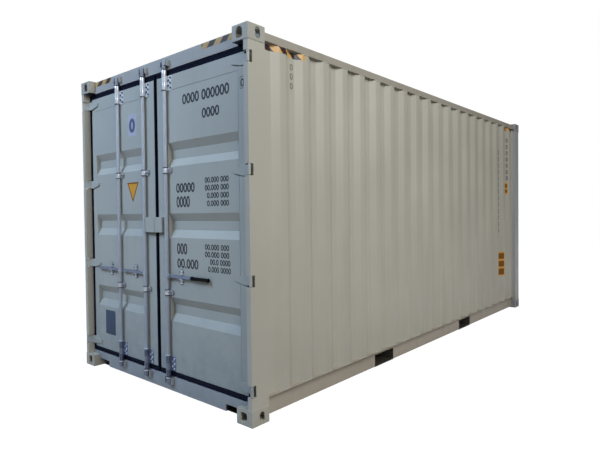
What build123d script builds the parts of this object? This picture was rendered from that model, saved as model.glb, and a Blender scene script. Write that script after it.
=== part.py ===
from build123d import *
import os
from math import atan, cos, degrees, radians

os.makedirs("parts", exist_ok=True)

# Shipping container, 20 ft long and high cube, with two swinging end doors.
# Millimetres. X runs along the length with the door end at -X, Y across with the
# right-hand door at -Y, Z up. The origin is the bottom centre of the container.
# "Recess" is a depth behind the door-end plane, "inset" a depth behind the right side.

# Overall size
length = 6058.0
width = 2438.0
height = 2896.0

# Corner castings
casting_length = 178.0
casting_width = 162.0
casting_height = 118.0
casting_plate = 28.0
casting_wall = 12.0
slot_end_inset = 102.5
slot_side_inset = 89.5
slot_length = 124.0
slot_width = 63.5
side_hole_length = 79.5
side_hole_width = 51.0
end_hole_height = 79.5
end_hole_width = 63.5
hole_centre_height = 56.0
end_hole_fillet = 12.0

# Posts, rails, header and sill
post_wall = 6.0
post_setback = 3.0
jamb_width = 48.0
jamb_depth = 117.0
stop_inset = 100.0
front_post_leg = 60.0
wall_inset = 12.0
rail_height = 60.0
rail_wall = 3.0
rail_drop = 30.0
bottom_rail_height = 158.0
bottom_rail_sheet = 4.5
upper_flange = 48.0
lower_flange = 30.0
ground_gap = 20.0
beam_wall = 4.0
beam_top_drop = 10.0
sill_height = 124.0
sill_notch_width = 187.0
sill_notch_height = 55.0
sill_joint = 0.3
front_beam_depth = 60.0
front_setback = 5.0
front_header_height = 80.0

# Sheet walls and roof
sheet = 2.0
side_ridge = 72.0
side_slope = 68.0
side_trough = 70.0
side_depth = 36.0
front_ridge = 110.0
front_slope = 18.0
front_trough = 104.0
front_depth = 45.0
front_flat = 60.0
roof_pitch = 209.0
roof_ridge_base = 150.0
roof_ridge_slope = 30.0
roof_ridge_height = 18.0
roof_edge_margin = 60.0
roof_overlap = 48.0

# Floor and underframe
floor_thickness = 28.0
floor_gap = 0.5
cross_member_height = 122.0
cross_member_flange = 45.0
cross_member_sheet = 4.0
cross_member_pitch = 290.0
pocket_spacing = 2050.0
pocket_shift = -61.0
pocket_width = 360.0
pocket_height = 115.0
pocket_sheet = 6.0
strap_length = 200.0

# Door leaves
leaf_recess = 62.0
leaf_depth = 50.0
leaf_gap = 49.0
leaf_stile = 127.0
leaf_outer_stile = 72.0
leaf_rail = 128.0
trough_height = 205.0
trough_slope = 65.0
trough_depth = 36.0
trough_low_rise = 537.0
trough_top_drop = 673.0
trough_middle_shift = 57.0
trough_inner_margin = 25.0
trough_outer_margin = 4.0
gasket_setback = 1.0
gasket_depth = 20.0
gasket_clearance = 5.0
gasket_seam_gap = 12.0

# Hinges
pin_recess = 13.0
pin_inset = 13.0
pin_radius = 8.0
pin_clearance = 0.3
barrel_radius = 12.0
hinge_rises = (257.0, 1053.0)
hinge_drops = (1041.0, 238.0)
hinge_height = 76.0
hinge_end_clearance = 5.0
hinge_plate = 10.0
hinge_tip_height = 28.0
hinge_shoulder = 25.0
hinge_reach = 128.0
notch_recess = 68.0
notch_side = 47.0
lug_thickness = 10.0

# Lock rods, brackets, keepers and handles
rod_radius = 17.0
rod_recess = 39.5
rod_inner_y = 165.0
rod_outer_inset = 527.0
rod_bottom = 86.0
rod_top_gap = 46.0
bracket_clearance = 0.5
bracket_strap = 3.0
bracket_plate = 4.0
mid_bracket_hub_drop = 144.0
mid_bracket_top_drop = 981.0
mid_bracket_width = 84.0
bracket_offset = 18.0
mid_bracket_height = 50.0
end_bracket_width = 116.0
end_bracket_height = 125.0
end_bracket_margin = 4.0
cam_reach = 36.0
cam_thickness = 22.0
cam_height = 38.0
cam_from_end = 8.0
keeper_gap = 42.0
keeper_cheek = 8.0
keeper_rise = 30.0
keeper_height = 56.0
keeper_plate = 4.0
hub_height = 1016.0
hub_length = 46.0
hub_wall = 3.5
ear_thickness = 5.0
ear_clearance = 1.0
ear_length = 50.0
ear_height = 26.0
pivot_offset = 38.0
pivot_radius = 5.0
pivot_clearance = 0.3
handle_thickness = 12.0
handle_root_radius = 12.0
handle_tip_height = 20.0
handle_rod_gap = 50.0
handle_edge_gap = 117.0
right_reach = 330.0
grip_length = 218.0
grip_radius = 17.0
retainer_offset = 180.0
retainer_width = 60.0
retainer_height = 112.0
retainer_plate = 4.0
ledge_thickness = 6.0
ledge_clearance = 1.0
ledge_reach = 26.0
lock_box_seam = 2.5
lock_box_right = 110.0
lock_box_left = 140.0
lock_box_height = 132.0
lock_box_centre = 1451.0
lock_box_recess = 28.0
lock_box_wall = 4.0

# Derived planes and heights
door_end = -length / 2
front_end = length / 2
right_side = -width / 2
rail_top = height - rail_drop
wall_top = rail_top - rail_height
wall_bottom = ground_gap + bottom_rail_height
web_inset = wall_inset + upper_flange
beam_y = width / 2 - casting_width
header_top = height - beam_top_drop
sill_top = ground_gap + sill_height
jamb_y = width / 2 - jamb_width
leaf_outer_y = jamb_y - leaf_gap
leaf_inner_y = leaf_gap / 2
leaf_bottom = sill_top + leaf_gap
leaf_top = height - casting_height - leaf_gap - 8.0
header_bottom = leaf_top + leaf_gap
leaf_x = door_end + leaf_recess
leaf_back_x = leaf_x + leaf_depth
pin_x = door_end + pin_recess
pin_y = right_side + pin_inset
rod_x = door_end + rod_recess
beam_back = door_end + casting_length
inner_back = front_end - casting_length
floor_top = ground_gap + cross_member_height + floor_thickness
hinge_heights = (*hinge_rises, *(height - drop for drop in hinge_drops))
rod_outer_y = leaf_outer_y - rod_outer_inset
rod_top = height - rod_top_gap


def finish(piece, label):
    """Label a finished piece and write its solids."""
    piece.part.label = label
    export_step(piece.part, f"parts/{label}.step")


def mirrored(piece):
    """The same piece on the other side of the length's middle plane."""
    with BuildPart() as other:
        mirror(piece.part, about=Plane.XZ)
    return other


def both_sides(piece):
    """The piece and its mirror image across the width."""
    with BuildPart() as pair:
        add(piece.part)
        mirror(piece.part, about=Plane.XZ)
    return pair


def plan(recess, inset):
    """Point in plan from its recess and its inset."""
    return (door_end + recess, right_side + inset)


def box_between(low, high, mode=Mode.ADD):
    """Rectangular block between two corners."""
    size = [high[i] - low[i] for i in range(3)]
    with Locations(tuple(low)):
        Box(*size, align=(Align.MIN, Align.MIN, Align.MIN), mode=mode)


def wave(start, count, ridge, slope, trough, depth):
    """Points of a trapezoid wave: (distance, depth) with troughs of the given depth."""
    points = []
    for i in range(count):
        foot = start + i * (ridge + 2 * slope + trough)
        points += [(foot, 0), (foot + slope, depth)]
        points += [(foot + slope + trough, depth), (foot + 2 * slope + trough, 0)]
    return points


# Corner castings: hollow blocks with a twistlock slot, an end hole and a side hole
slot_x = length / 2 - slot_end_inset
slot_y = width / 2 - slot_side_inset
with BuildPart() as casting:
    with BuildSketch(Plane.XY) as casting_block:
        with Locations(plan(0, 0)):
            Rectangle(casting_length, casting_width, align=(Align.MIN, Align.MIN))
    extrude(amount=casting_height)
    with BuildSketch(Plane.XY.offset(casting_plate)) as casting_cavity:
        with Locations(plan(casting_wall, casting_wall)):
            Rectangle(casting_length - 2 * casting_wall, casting_width - 2 * casting_wall,
                      align=(Align.MIN, Align.MIN))
    extrude(amount=casting_height - casting_plate - casting_wall, mode=Mode.SUBTRACT)
    with BuildSketch(Plane.XY) as twistlock_slot:
        with Locations((-slot_x, -slot_y)):
            SlotOverall(slot_length, slot_width)
    extrude(amount=casting_plate, mode=Mode.SUBTRACT)
    with BuildSketch(Plane.XZ.offset(width / 2)) as side_hole:
        with Locations((-slot_x, hole_centre_height)):
            SlotOverall(side_hole_length, side_hole_width, rotation=90)
    extrude(amount=-casting_wall, mode=Mode.SUBTRACT)
    with BuildSketch(Plane.YZ.offset(door_end)) as end_hole:
        lower_arc_z = hole_centre_height - end_hole_height / 2 + end_hole_width / 2
        upper_z = hole_centre_height + end_hole_height / 2
        with Locations((-slot_y, (lower_arc_z + upper_z) / 2)):
            Rectangle(end_hole_width, upper_z - lower_arc_z)
        fillet(end_hole.vertices().group_by(Axis.Y)[-1], end_hole_fillet)
        with Locations((-slot_y, lower_arc_z)):
            Circle(end_hole_width / 2)
    extrude(amount=casting_wall, mode=Mode.SUBTRACT)

with BuildPart() as door_end_castings:
    add(casting.part)
    mirror(casting.part, about=Plane.XZ)

with BuildPart() as front_end_castings:
    mirror(door_end_castings.part, about=Plane.YZ)

for castings, end in ((door_end_castings, "door"), (front_end_castings, "front")):
    finish(castings, f"{end}_castings_bottom")
    with BuildPart() as turned_over:
        mirror(castings.part, about=Plane.XY.offset(height / 2))
    finish(turned_over, f"{end}_castings_top")

# Door posts: hollow jamb with a door stop behind it and a notch at each hinge
notch_height = hinge_height + 2 * hinge_end_clearance
with BuildPart() as right_door_post:
    with BuildSketch(Plane.XY.offset(casting_height)) as post_profile:
        with BuildLine():
            Polyline(plan(post_setback, post_setback), plan(post_setback, jamb_width),
                     plan(jamb_depth, jamb_width), plan(jamb_depth, stop_inset),
                     plan(casting_length, stop_inset), plan(casting_length, post_setback),
                     close=True)
        make_face()
        offset(amount=-post_wall, kind=Kind.INTERSECTION, mode=Mode.SUBTRACT)
    extrude(amount=height - 2 * casting_height)
    for level in hinge_heights:
        low = level - notch_height / 2
        high = level + notch_height / 2
        box_between((*plan(post_setback, post_setback), low - lug_thickness),
                    (*plan(notch_recess + post_wall, jamb_width), high + lug_thickness))
        box_between((*plan(0, 0), low), (*plan(notch_side, jamb_width), high), Mode.SUBTRACT)
        box_between((*plan(0, post_setback + post_wall), low),
                    (*plan(notch_recess, jamb_width), high), Mode.SUBTRACT)
        with Locations((pin_x, pin_y, level)):
            Cylinder(pin_radius, notch_height + 2 * lug_thickness, mode=Mode.SUBTRACT)
finish(right_door_post, "right_door_post")
finish(mirrored(right_door_post), "left_door_post")

with BuildPart() as right_pins:
    for level in hinge_heights:
        with Locations((pin_x, pin_y, level)):
            Cylinder(pin_radius, notch_height + 2 * lug_thickness)
finish(both_sides(right_pins), "hinge_pins")

# Front posts: hollow angle sections
with BuildPart() as right_front_post:
    with BuildSketch(Plane.XY.offset(casting_height)) as front_profile:
        outer = length - post_setback
        with BuildLine():
            Polyline(plan(outer, post_setback), plan(outer, casting_width),
                     plan(length - front_post_leg, casting_width),
                     plan(length - front_post_leg, front_post_leg),
                     plan(length - casting_length, front_post_leg),
                     plan(length - casting_length, post_setback), close=True)
        make_face()
        offset(amount=-post_wall, kind=Kind.INTERSECTION, mode=Mode.SUBTRACT)
    extrude(amount=height - 2 * casting_height)
finish(both_sides(right_front_post), "front_posts")

# Side rails between the castings
with BuildPart() as right_top_rail:
    with BuildSketch(Plane.YZ.offset(beam_back)) as top_rail_profile:
        with Locations((right_side + wall_inset + rail_height / 2, rail_top - rail_height / 2)):
            Rectangle(rail_height, rail_height)
            Rectangle(rail_height - 2 * rail_wall, rail_height - 2 * rail_wall,
                      mode=Mode.SUBTRACT)
    extrude(amount=length - 2 * casting_length)
finish(both_sides(right_top_rail), "top_side_rails")

# Bottom rails: a flange and web above the fork pockets, and webs with a lip between them
pocket_x = (pocket_shift - pocket_spacing / 2, pocket_shift + pocket_spacing / 2)
pocket_top = ground_gap + pocket_height
web_y = right_side + web_inset
with BuildPart() as right_bottom_rail:
    with BuildSketch(Plane.YZ.offset(beam_back)) as bottom_rail_profile:
        with Locations((web_y, wall_bottom)):
            Rectangle(bottom_rail_sheet, wall_bottom - pocket_top, align=(Align.MIN, Align.MAX))
            Rectangle(upper_flange, bottom_rail_sheet, align=(Align.MAX, Align.MAX))
    extrude(amount=length - 2 * casting_length)
finish(both_sides(right_bottom_rail), "bottom_rails")

pocket_edges = [x + side * pocket_width / 2 for x in pocket_x for side in (-1, 1)]
web_ends = [beam_back, *pocket_edges, inner_back]
with BuildPart() as right_rail_webs:
    for near_x, far_x in zip(web_ends[::2], web_ends[1::2]):
        box_between((near_x, web_y, ground_gap), (far_x, web_y + bottom_rail_sheet, pocket_top))
        box_between((near_x, web_y, ground_gap),
                    (far_x, web_y + lower_flange, ground_gap + bottom_rail_sheet))
finish(both_sides(right_rail_webs), "rail_webs")

# Door header and sill, set back to the plane of the doors
with BuildPart() as door_header:
    box_between((leaf_x, -beam_y, header_bottom), (beam_back, beam_y, header_top))
    box_between((leaf_x + beam_wall, -beam_y, header_bottom + beam_wall),
                (beam_back - beam_wall, beam_y, header_top - beam_wall), Mode.SUBTRACT)
finish(door_header, "door_header")

with BuildPart() as door_sill:
    box_between((leaf_x, -beam_y, ground_gap), (beam_back, beam_y, sill_top))
    box_between((leaf_x + beam_wall, -beam_y, ground_gap + beam_wall),
                (beam_back - beam_wall, beam_y, sill_top - beam_wall), Mode.SUBTRACT)
    notch_y = beam_y - sill_notch_width / 2
    for y in (-notch_y, notch_y):
        notch_low = (leaf_x, y - sill_notch_width / 2, ground_gap)
        notch_high = (beam_back, y + sill_notch_width / 2, ground_gap + sill_notch_height)
        box_between(notch_low, notch_high, Mode.SUBTRACT)
    for low_y, high_y in ((-jamb_y, -beam_y - sill_joint), (beam_y + sill_joint, jamb_y)):
        box_between((leaf_x, low_y, casting_height), (door_end + jamb_depth, high_y, sill_top))
finish(door_sill, "door_sill")

# Front header with its roof plate, and front sill
front_x = front_end - front_setback - front_beam_depth
with BuildPart() as front_header:
    box_between((front_x, -beam_y, header_top - front_header_height),
                (front_end - front_setback, beam_y, header_top))
    box_between((front_x + beam_wall, -beam_y, header_top - front_header_height + beam_wall),
                (front_end - front_setback - beam_wall, beam_y, header_top - beam_wall),
                Mode.SUBTRACT)
    box_between((inner_back, -beam_y, rail_top - beam_wall), (front_x, beam_y, rail_top))
finish(front_header, "front_header")

with BuildPart() as front_sill:
    sill_end_x = front_end - front_setback
    box_between((front_x, -beam_y, ground_gap), (sill_end_x, beam_y, sill_top))
    box_between((front_x + beam_wall, -beam_y, ground_gap + beam_wall),
                (sill_end_x - beam_wall, beam_y, sill_top - beam_wall), Mode.SUBTRACT)
finish(front_sill, "front_sill")

# Side walls: upright trapezoid corrugation that starts and ends in a trough at the posts
side_pitch = side_ridge + 2 * side_slope + side_trough
side_troughs = round((length - 2 * casting_length + side_ridge) / side_pitch)
side_span = side_troughs * side_pitch - side_ridge
with BuildPart() as right_side_wall:
    with BuildSketch(Plane.XY.offset(wall_bottom)) as side_profile:
        crests = wave(-side_span / 2, side_troughs, side_ridge, side_slope, side_trough,
                      side_depth)
        run = [(beam_back, side_depth)] + crests[2:-2] + [(inner_back, side_depth)]
        outside = [(x, right_side + wall_inset + depth) for x, depth in run]
        inside = [(x, y + sheet) for x, y in reversed(outside)]
        with BuildLine():
            Polyline(*outside, *inside, close=True)
        make_face()
    extrude(amount=wall_top - wall_bottom)
finish(right_side_wall, "right_side_wall")
finish(mirrored(right_side_wall), "left_side_wall")

# Front wall, a deeper corrugation between the front posts
front_pitch = front_ridge + 2 * front_slope + front_trough
front_troughs = int((2 * (beam_y - front_flat) + front_ridge) // front_pitch)
front_span = front_troughs * front_pitch - front_ridge
with BuildPart() as front_wall:
    with BuildSketch(Plane.XY.offset(sill_top)) as front_wall_profile:
        crests = wave(-front_span / 2, front_troughs, front_ridge, front_slope, front_trough,
                      front_depth)
        run = [(-beam_y, 0)] + crests + [(beam_y, 0)]
        outside = [(front_end - wall_inset - depth, y) for y, depth in run]
        inside = [(x - sheet, y) for x, y in reversed(outside)]
        with BuildLine():
            Polyline(*outside, *inside, close=True)
        make_face()
    extrude(amount=header_top - front_header_height - sill_top)
finish(front_wall, "front_wall")

# Roof sheet: pressed ridges across the container, closed at both ends
roof_y = width / 2 - wall_inset - rail_height + roof_overlap
roof_taper = degrees(atan(roof_ridge_slope / roof_ridge_height))
roof_skin = sheet / cos(radians(roof_taper))
ridge_length = 2 * (roof_y - roof_edge_margin)
roof_ridges = int((length - 2 * casting_length) // roof_pitch)
with BuildPart() as roof:
    with BuildSketch(Plane.XY.offset(rail_top)) as roof_sheet:
        Rectangle(length - 2 * casting_length, 2 * roof_y)
    extrude(amount=sheet)
    with BuildSketch(Plane.XY.offset(rail_top)) as ridge_outsides:
        with GridLocations(roof_pitch, 0, roof_ridges, 1):
            Rectangle(roof_ridge_base + 2 * roof_skin, ridge_length + 2 * roof_skin)
    extrude(amount=roof_ridge_height + sheet, taper=roof_taper)
    with BuildSketch(Plane.XY.offset(rail_top)) as ridge_insides:
        with GridLocations(roof_pitch, 0, roof_ridges, 1):
            Rectangle(roof_ridge_base, ridge_length)
    extrude(amount=roof_ridge_height, taper=roof_taper, mode=Mode.SUBTRACT)
finish(roof, "roof")

# Plywood floor on the cross members
floor_y = width / 2 - web_inset - bottom_rail_sheet - floor_gap
with BuildPart() as floor:
    floor_low = (beam_back, -floor_y, floor_top - floor_thickness)
    box_between(floor_low, (front_x, floor_y, floor_top))
finish(floor, "floor")

# Cross members between the bottom rails, left out where the fork pockets run
member_y = width / 2 - web_inset - bottom_rail_sheet
pocket_keep_out = pocket_width / 2 + pocket_sheet + cross_member_flange
cross_member_count = int((length - 2 * casting_length) // cross_member_pitch)
with BuildPart() as cross_members:
    for i in range(cross_member_count):
        x = (i - (cross_member_count - 1) / 2) * cross_member_pitch
        if min(abs(x - p) for p in pocket_x) < pocket_keep_out:
            continue
        with BuildSketch(Plane.XZ.offset(-member_y)) as member_profile:
            with Locations((x, ground_gap)):
                Rectangle(cross_member_flange, cross_member_height,
                          align=(Align.MIN, Align.MIN))
            with Locations((x + cross_member_sheet, ground_gap + cross_member_sheet)):
                Rectangle(cross_member_flange, cross_member_height - 2 * cross_member_sheet,
                          align=(Align.MIN, Align.MIN), mode=Mode.SUBTRACT)
        extrude(amount=2 * member_y)
    for y in (-member_y, member_y - lower_flange):
        lip_low = (door_end, y, ground_gap)
        lip_high = (front_end, y + lower_flange, ground_gap + bottom_rail_sheet)
        box_between(lip_low, lip_high, Mode.SUBTRACT)
finish(cross_members, "cross_members")

# Fork pockets: a roof plate and two side plates across the underframe, a strap at each mouth
pocket_outer = pocket_width / 2 + pocket_sheet
with BuildPart() as fork_pocket_sides:
    for edge in pocket_edges:
        outward = pocket_sheet if edge in pocket_edges[1::2] else -pocket_sheet
        low_x = min(edge, edge + outward)
        box_between((low_x, -member_y, ground_gap + bottom_rail_sheet),
                    (low_x + pocket_sheet, member_y, pocket_top))
finish(fork_pocket_sides, "fork_pocket_sides")

with BuildPart() as fork_pocket_plates:
    for x in pocket_x:
        box_between((x - pocket_outer, -member_y, pocket_top),
                    (x + pocket_outer, member_y, ground_gap + cross_member_height))
        for y in (-member_y, member_y - strap_length):
            box_between((x - pocket_outer, y, ground_gap - pocket_sheet),
                        (x + pocket_outer, y + strap_length, ground_gap))
finish(fork_pocket_plates, "fork_pocket_plates")

# Door leaf: frame of stiles and rails, pressed panel and gasket
panel_low = (-leaf_outer_y + leaf_outer_stile, leaf_bottom + leaf_rail)
panel_high = (-leaf_inner_y - leaf_stile, leaf_top - leaf_rail)


def door_ring(piece_depth, recess, outer_low, outer_high, inner_low, inner_high):
    """Upright rectangular ring between two (y, z) outlines, set at a recess."""
    box_between((door_end + recess, *outer_low), (door_end + recess + piece_depth, *outer_high))
    box_between((door_end + recess, *inner_low), (door_end + recess + piece_depth, *inner_high),
                Mode.SUBTRACT)


leaf_low = (-leaf_outer_y, leaf_bottom)
leaf_high = (-leaf_inner_y, leaf_top)
with BuildPart() as right_door_frame:
    door_ring(leaf_depth, leaf_recess, leaf_low, leaf_high, panel_low, panel_high)
finish(right_door_frame, "right_door_frame")
finish(mirrored(right_door_frame), "left_door_frame")

trough_low = panel_low[0] + trough_outer_margin
trough_high = panel_high[0] - trough_inner_margin
trough_ends = (leaf_bottom + trough_low_rise, leaf_top - trough_top_drop)
trough_middle = sum(trough_ends) / 2 + trough_middle_shift
trough_centres = (trough_ends[0], trough_middle, trough_ends[1])


def trough_prism(centre, skin, mode):
    """Trapezoid groove across the panel, or with a skin its outside."""
    depth = trough_depth + skin
    half = trough_height / 2 + skin / cos(atan(trough_slope / trough_depth))
    foot = half - trough_slope * depth / trough_depth
    with BuildSketch(Plane.XZ.offset(-trough_high - skin)) as groove:
        Polygon((leaf_x, centre - half), (leaf_x + depth, centre - foot),
                (leaf_x + depth, centre + foot), (leaf_x, centre + half), align=None)
    extrude(groove.sketch, amount=trough_high - trough_low + 2 * skin, mode=mode)


with BuildPart() as right_door_panel:
    box_between((leaf_x, *panel_low), (leaf_x + sheet, *panel_high))
    for centre in trough_centres:
        trough_prism(centre, sheet, Mode.ADD)
        trough_prism(centre, 0, Mode.SUBTRACT)
finish(right_door_panel, "right_door_panel")
finish(mirrored(right_door_panel), "left_door_panel")

gasket_outer_y = jamb_y - gasket_clearance
gasket_low = (-gasket_outer_y, sill_top + gasket_clearance)
gasket_high = (-gasket_seam_gap / 2, header_bottom - gasket_clearance)
with BuildPart() as right_door_gasket:
    door_ring(gasket_depth, leaf_recess + gasket_setback, gasket_low, gasket_high, leaf_low,
              leaf_high)
finish(right_door_gasket, "right_door_gasket")
finish(mirrored(right_door_gasket), "left_door_gasket")

# Hinges: barrel round the pin, neck, and a blade that tapers over the leaf
blade_root_y = right_side + stop_inset - leaf_gap + hinge_plate
blade_edge_y = -leaf_outer_y
with BuildPart() as right_door_hinges:
    for level in hinge_heights:
        with BuildSketch(Plane.XY.offset(level - hinge_height / 2)) as neck_profile:
            with Locations((pin_x, pin_y)):
                Circle(barrel_radius)
            with Locations((leaf_x - hinge_plate / 2, blade_root_y)):
                Rectangle(hinge_plate, hinge_plate)
            make_hull()
        extrude(amount=hinge_height)
        with BuildSketch(Plane.YZ.offset(leaf_x - hinge_plate)) as blade_profile:
            half = hinge_height / 2
            tip = hinge_tip_height / 2
            tip_y = blade_edge_y + hinge_reach
            with BuildLine():
                Polyline((blade_root_y, level - half), (blade_edge_y + hinge_shoulder, level - half),
                         (tip_y, level - tip), (tip_y, level + tip),
                         (blade_edge_y + hinge_shoulder, level + half),
                         (blade_root_y, level + half), close=True)
            make_face()
        extrude(amount=hinge_plate)
        with Locations((pin_x, pin_y, level)):
            Cylinder(pin_radius + pin_clearance, hinge_height, mode=Mode.SUBTRACT)
finish(right_door_hinges, "right_door_hinges")
finish(mirrored(right_door_hinges), "left_door_hinges")


def rod_bracket(rod_y, low_z, plate_width, plate_height):
    """Guide for a rod: a plate on the leaf with a strap bent round the rod."""
    with BuildSketch(Plane.XY.offset(low_z)) as bracket_profile:
        bore = rod_radius + bracket_clearance
        with Locations((leaf_x, rod_y - bracket_offset)):
            Rectangle(bracket_plate, plate_width, align=(Align.MAX, Align.CENTER))
        with Locations((rod_x, rod_y)):
            Circle(bore + bracket_strap)
            Rectangle(leaf_x - rod_x, 2 * (bore + bracket_strap),
                      align=(Align.MIN, Align.CENTER))
            Circle(bore, mode=Mode.SUBTRACT)
    extrude(bracket_profile.sketch, amount=plate_height)


def rod_brackets(rod_places):
    """Two long end brackets and two short middle ones on each rod."""
    with BuildPart() as brackets:
        for rod_y in rod_places:
            rod_bracket(rod_y, leaf_bottom + end_bracket_margin, end_bracket_width,
                        end_bracket_height)
            rod_bracket(rod_y, leaf_top - end_bracket_margin - end_bracket_height,
                        end_bracket_width, end_bracket_height)
            for level in (hub_height - mid_bracket_hub_drop, height - mid_bracket_top_drop):
                rod_bracket(rod_y, level - mid_bracket_height / 2, mid_bracket_width,
                            mid_bracket_height)
    return brackets


finish(rod_brackets((-rod_inner_y,)), "right_rod_brackets")
finish(rod_brackets((rod_inner_y, rod_outer_y)), "left_rod_brackets")

# Cam keepers on the header and the sill: two cheeks on a plate, open to the front
all_rods = (-rod_inner_y, rod_inner_y, rod_outer_y)
cam_low = (rod_bottom + cam_from_end, rod_top - cam_from_end - cam_height)
with BuildPart() as cam_keepers:
    for cam_z in cam_low:
        low_z = cam_z + cam_height / 2 - keeper_height / 2
        for rod_y in all_rods:
            half = keeper_gap + keeper_cheek
            box_between((leaf_x - keeper_plate, rod_y - half, low_z),
                        (leaf_x, rod_y + half, low_z + keeper_height))
            for cheek_y in (rod_y - half, rod_y + keeper_gap):
                box_between((leaf_x - keeper_rise, cheek_y, low_z),
                            (leaf_x, cheek_y + keeper_cheek, low_z + keeper_height))
finish(cam_keepers, "cam_keepers")

ear_gap = handle_thickness / 2 + ear_clearance


def lock_rod(rod_y, side):
    """Upright rod with a cam at each end and a hub with two ears for its handle.

    side is 1 where the handle points to +Y and -1 where it points to -Y.
    """
    with BuildPart() as rod:
        with BuildSketch(Plane.XY.offset(rod_bottom)) as bar:
            with Locations((rod_x, rod_y)):
                Circle(rod_radius)
        extrude(amount=rod_top - rod_bottom)
        for level in cam_low:
            with BuildSketch(Plane.XY.offset(level)) as cam:
                with Locations((rod_x, rod_y)):
                    Circle(rod_radius + 1)
                with Locations((rod_x, rod_y + side * (cam_reach - cam_thickness / 2))):
                    Circle(cam_thickness / 2)
                make_hull()
            extrude(amount=cam_height)
        with BuildSketch(Plane.XY.offset(hub_height - hub_length / 2)) as hub:
            with Locations((rod_x, rod_y)):
                Circle(rod_radius + hub_wall)
        extrude(amount=hub_length)
        for ear_x in (rod_x - ear_gap - ear_thickness, rod_x + ear_gap):
            low_y = min(rod_y, rod_y + side * ear_length)
            box_between((ear_x, low_y, hub_height - ear_height / 2),
                        (ear_x + ear_thickness, low_y + ear_length, hub_height + ear_height / 2))
        with BuildSketch(Plane.YZ.offset(rod_x - ear_gap - ear_thickness)) as pivot:
            with Locations((rod_y + side * pivot_offset, hub_height)):
                Circle(pivot_radius)
        extrude(amount=2 * (ear_gap + ear_thickness))
    return rod


finish(lock_rod(-rod_inner_y, -1), "right_lock_rod")
finish(lock_rod(rod_inner_y, 1), "left_inner_lock_rod")
finish(lock_rod(rod_outer_y, 1), "left_outer_lock_rod")


def handle(rod_y, side, reach):
    """Flat bar that tapers from its pivot between the ears to a round tip."""
    with BuildPart() as bar:
        with BuildSketch(Plane.YZ.offset(rod_x - handle_thickness / 2)) as outline:
            with Locations((rod_y + side * pivot_offset, hub_height)):
                Circle(handle_root_radius)
            with Locations((rod_y + side * (reach - handle_tip_height / 2), hub_height)):
                Circle(handle_tip_height / 2)
            make_hull()
            with Locations((rod_y + side * pivot_offset, hub_height)):
                Circle(pivot_radius + pivot_clearance, mode=Mode.SUBTRACT)
        extrude(amount=handle_thickness)
    return bar


left_inner_reach = rod_outer_y - rod_inner_y - handle_rod_gap
left_outer_reach = leaf_outer_y - rod_outer_y - handle_edge_gap
finish(handle(rod_inner_y, 1, left_inner_reach), "left_inner_handle")
finish(handle(rod_outer_y, 1, left_outer_reach), "left_outer_handle")
finish(handle(-rod_inner_y, -1, right_reach), "right_handle")

with BuildPart() as right_handle_grip:
    with BuildSketch(Plane.XZ.offset(rod_inner_y + right_reach)) as grip_profile:
        with Locations((rod_x, hub_height)):
            Circle(grip_radius)
    extrude(amount=grip_length)
    fillet(right_handle_grip.edges().filter_by(GeomType.CIRCLE), grip_radius / 3)
finish(right_handle_grip, "right_handle_grip")


def handle_retainer(rod_y, side):
    """Plate on the leaf with a ledge that the handle rests on."""
    centre_y = rod_y + side * retainer_offset
    box_between((leaf_x - retainer_plate, centre_y - retainer_width / 2,
                 hub_height - retainer_height / 2),
                (leaf_x, centre_y + retainer_width / 2, hub_height + retainer_height / 2))
    ledge_top = hub_height - handle_root_radius - ledge_clearance
    box_between((leaf_x - ledge_reach, centre_y - retainer_width / 2, ledge_top - ledge_thickness),
                (leaf_x, centre_y + retainer_width / 2, ledge_top))


with BuildPart() as right_handle_retainer:
    handle_retainer(-rod_inner_y, -1)
finish(right_handle_retainer, "right_handle_retainer")

with BuildPart() as left_handle_retainers:
    handle_retainer(rod_inner_y, 1)
    handle_retainer(rod_outer_y, 1)
finish(left_handle_retainers, "left_handle_retainers")


def lock_box(reach):
    """Half of the padlock box on the right leaf: open below, behind and at the seam."""
    low_z = lock_box_centre - lock_box_height / 2
    high_z = lock_box_centre + lock_box_height / 2
    with BuildPart() as half_box:
        box_between((door_end + lock_box_recess, -reach, low_z), (leaf_x, -lock_box_seam, high_z))
        box_between((door_end + lock_box_recess + lock_box_wall, -reach + lock_box_wall, low_z),
                    (leaf_x, -lock_box_seam, high_z - lock_box_wall), Mode.SUBTRACT)
    return half_box


finish(lock_box(lock_box_right), "right_lock_box")
finish(mirrored(lock_box(lock_box_left)), "left_lock_box")
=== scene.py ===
"""Looks of a twenty foot high-cube shipping container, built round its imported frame."""
import logging
import math
from dataclasses import dataclass, replace
from enum import Enum
from typing import Sequence

import bmesh
import bpy
from mathutils import Matrix, Vector


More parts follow.
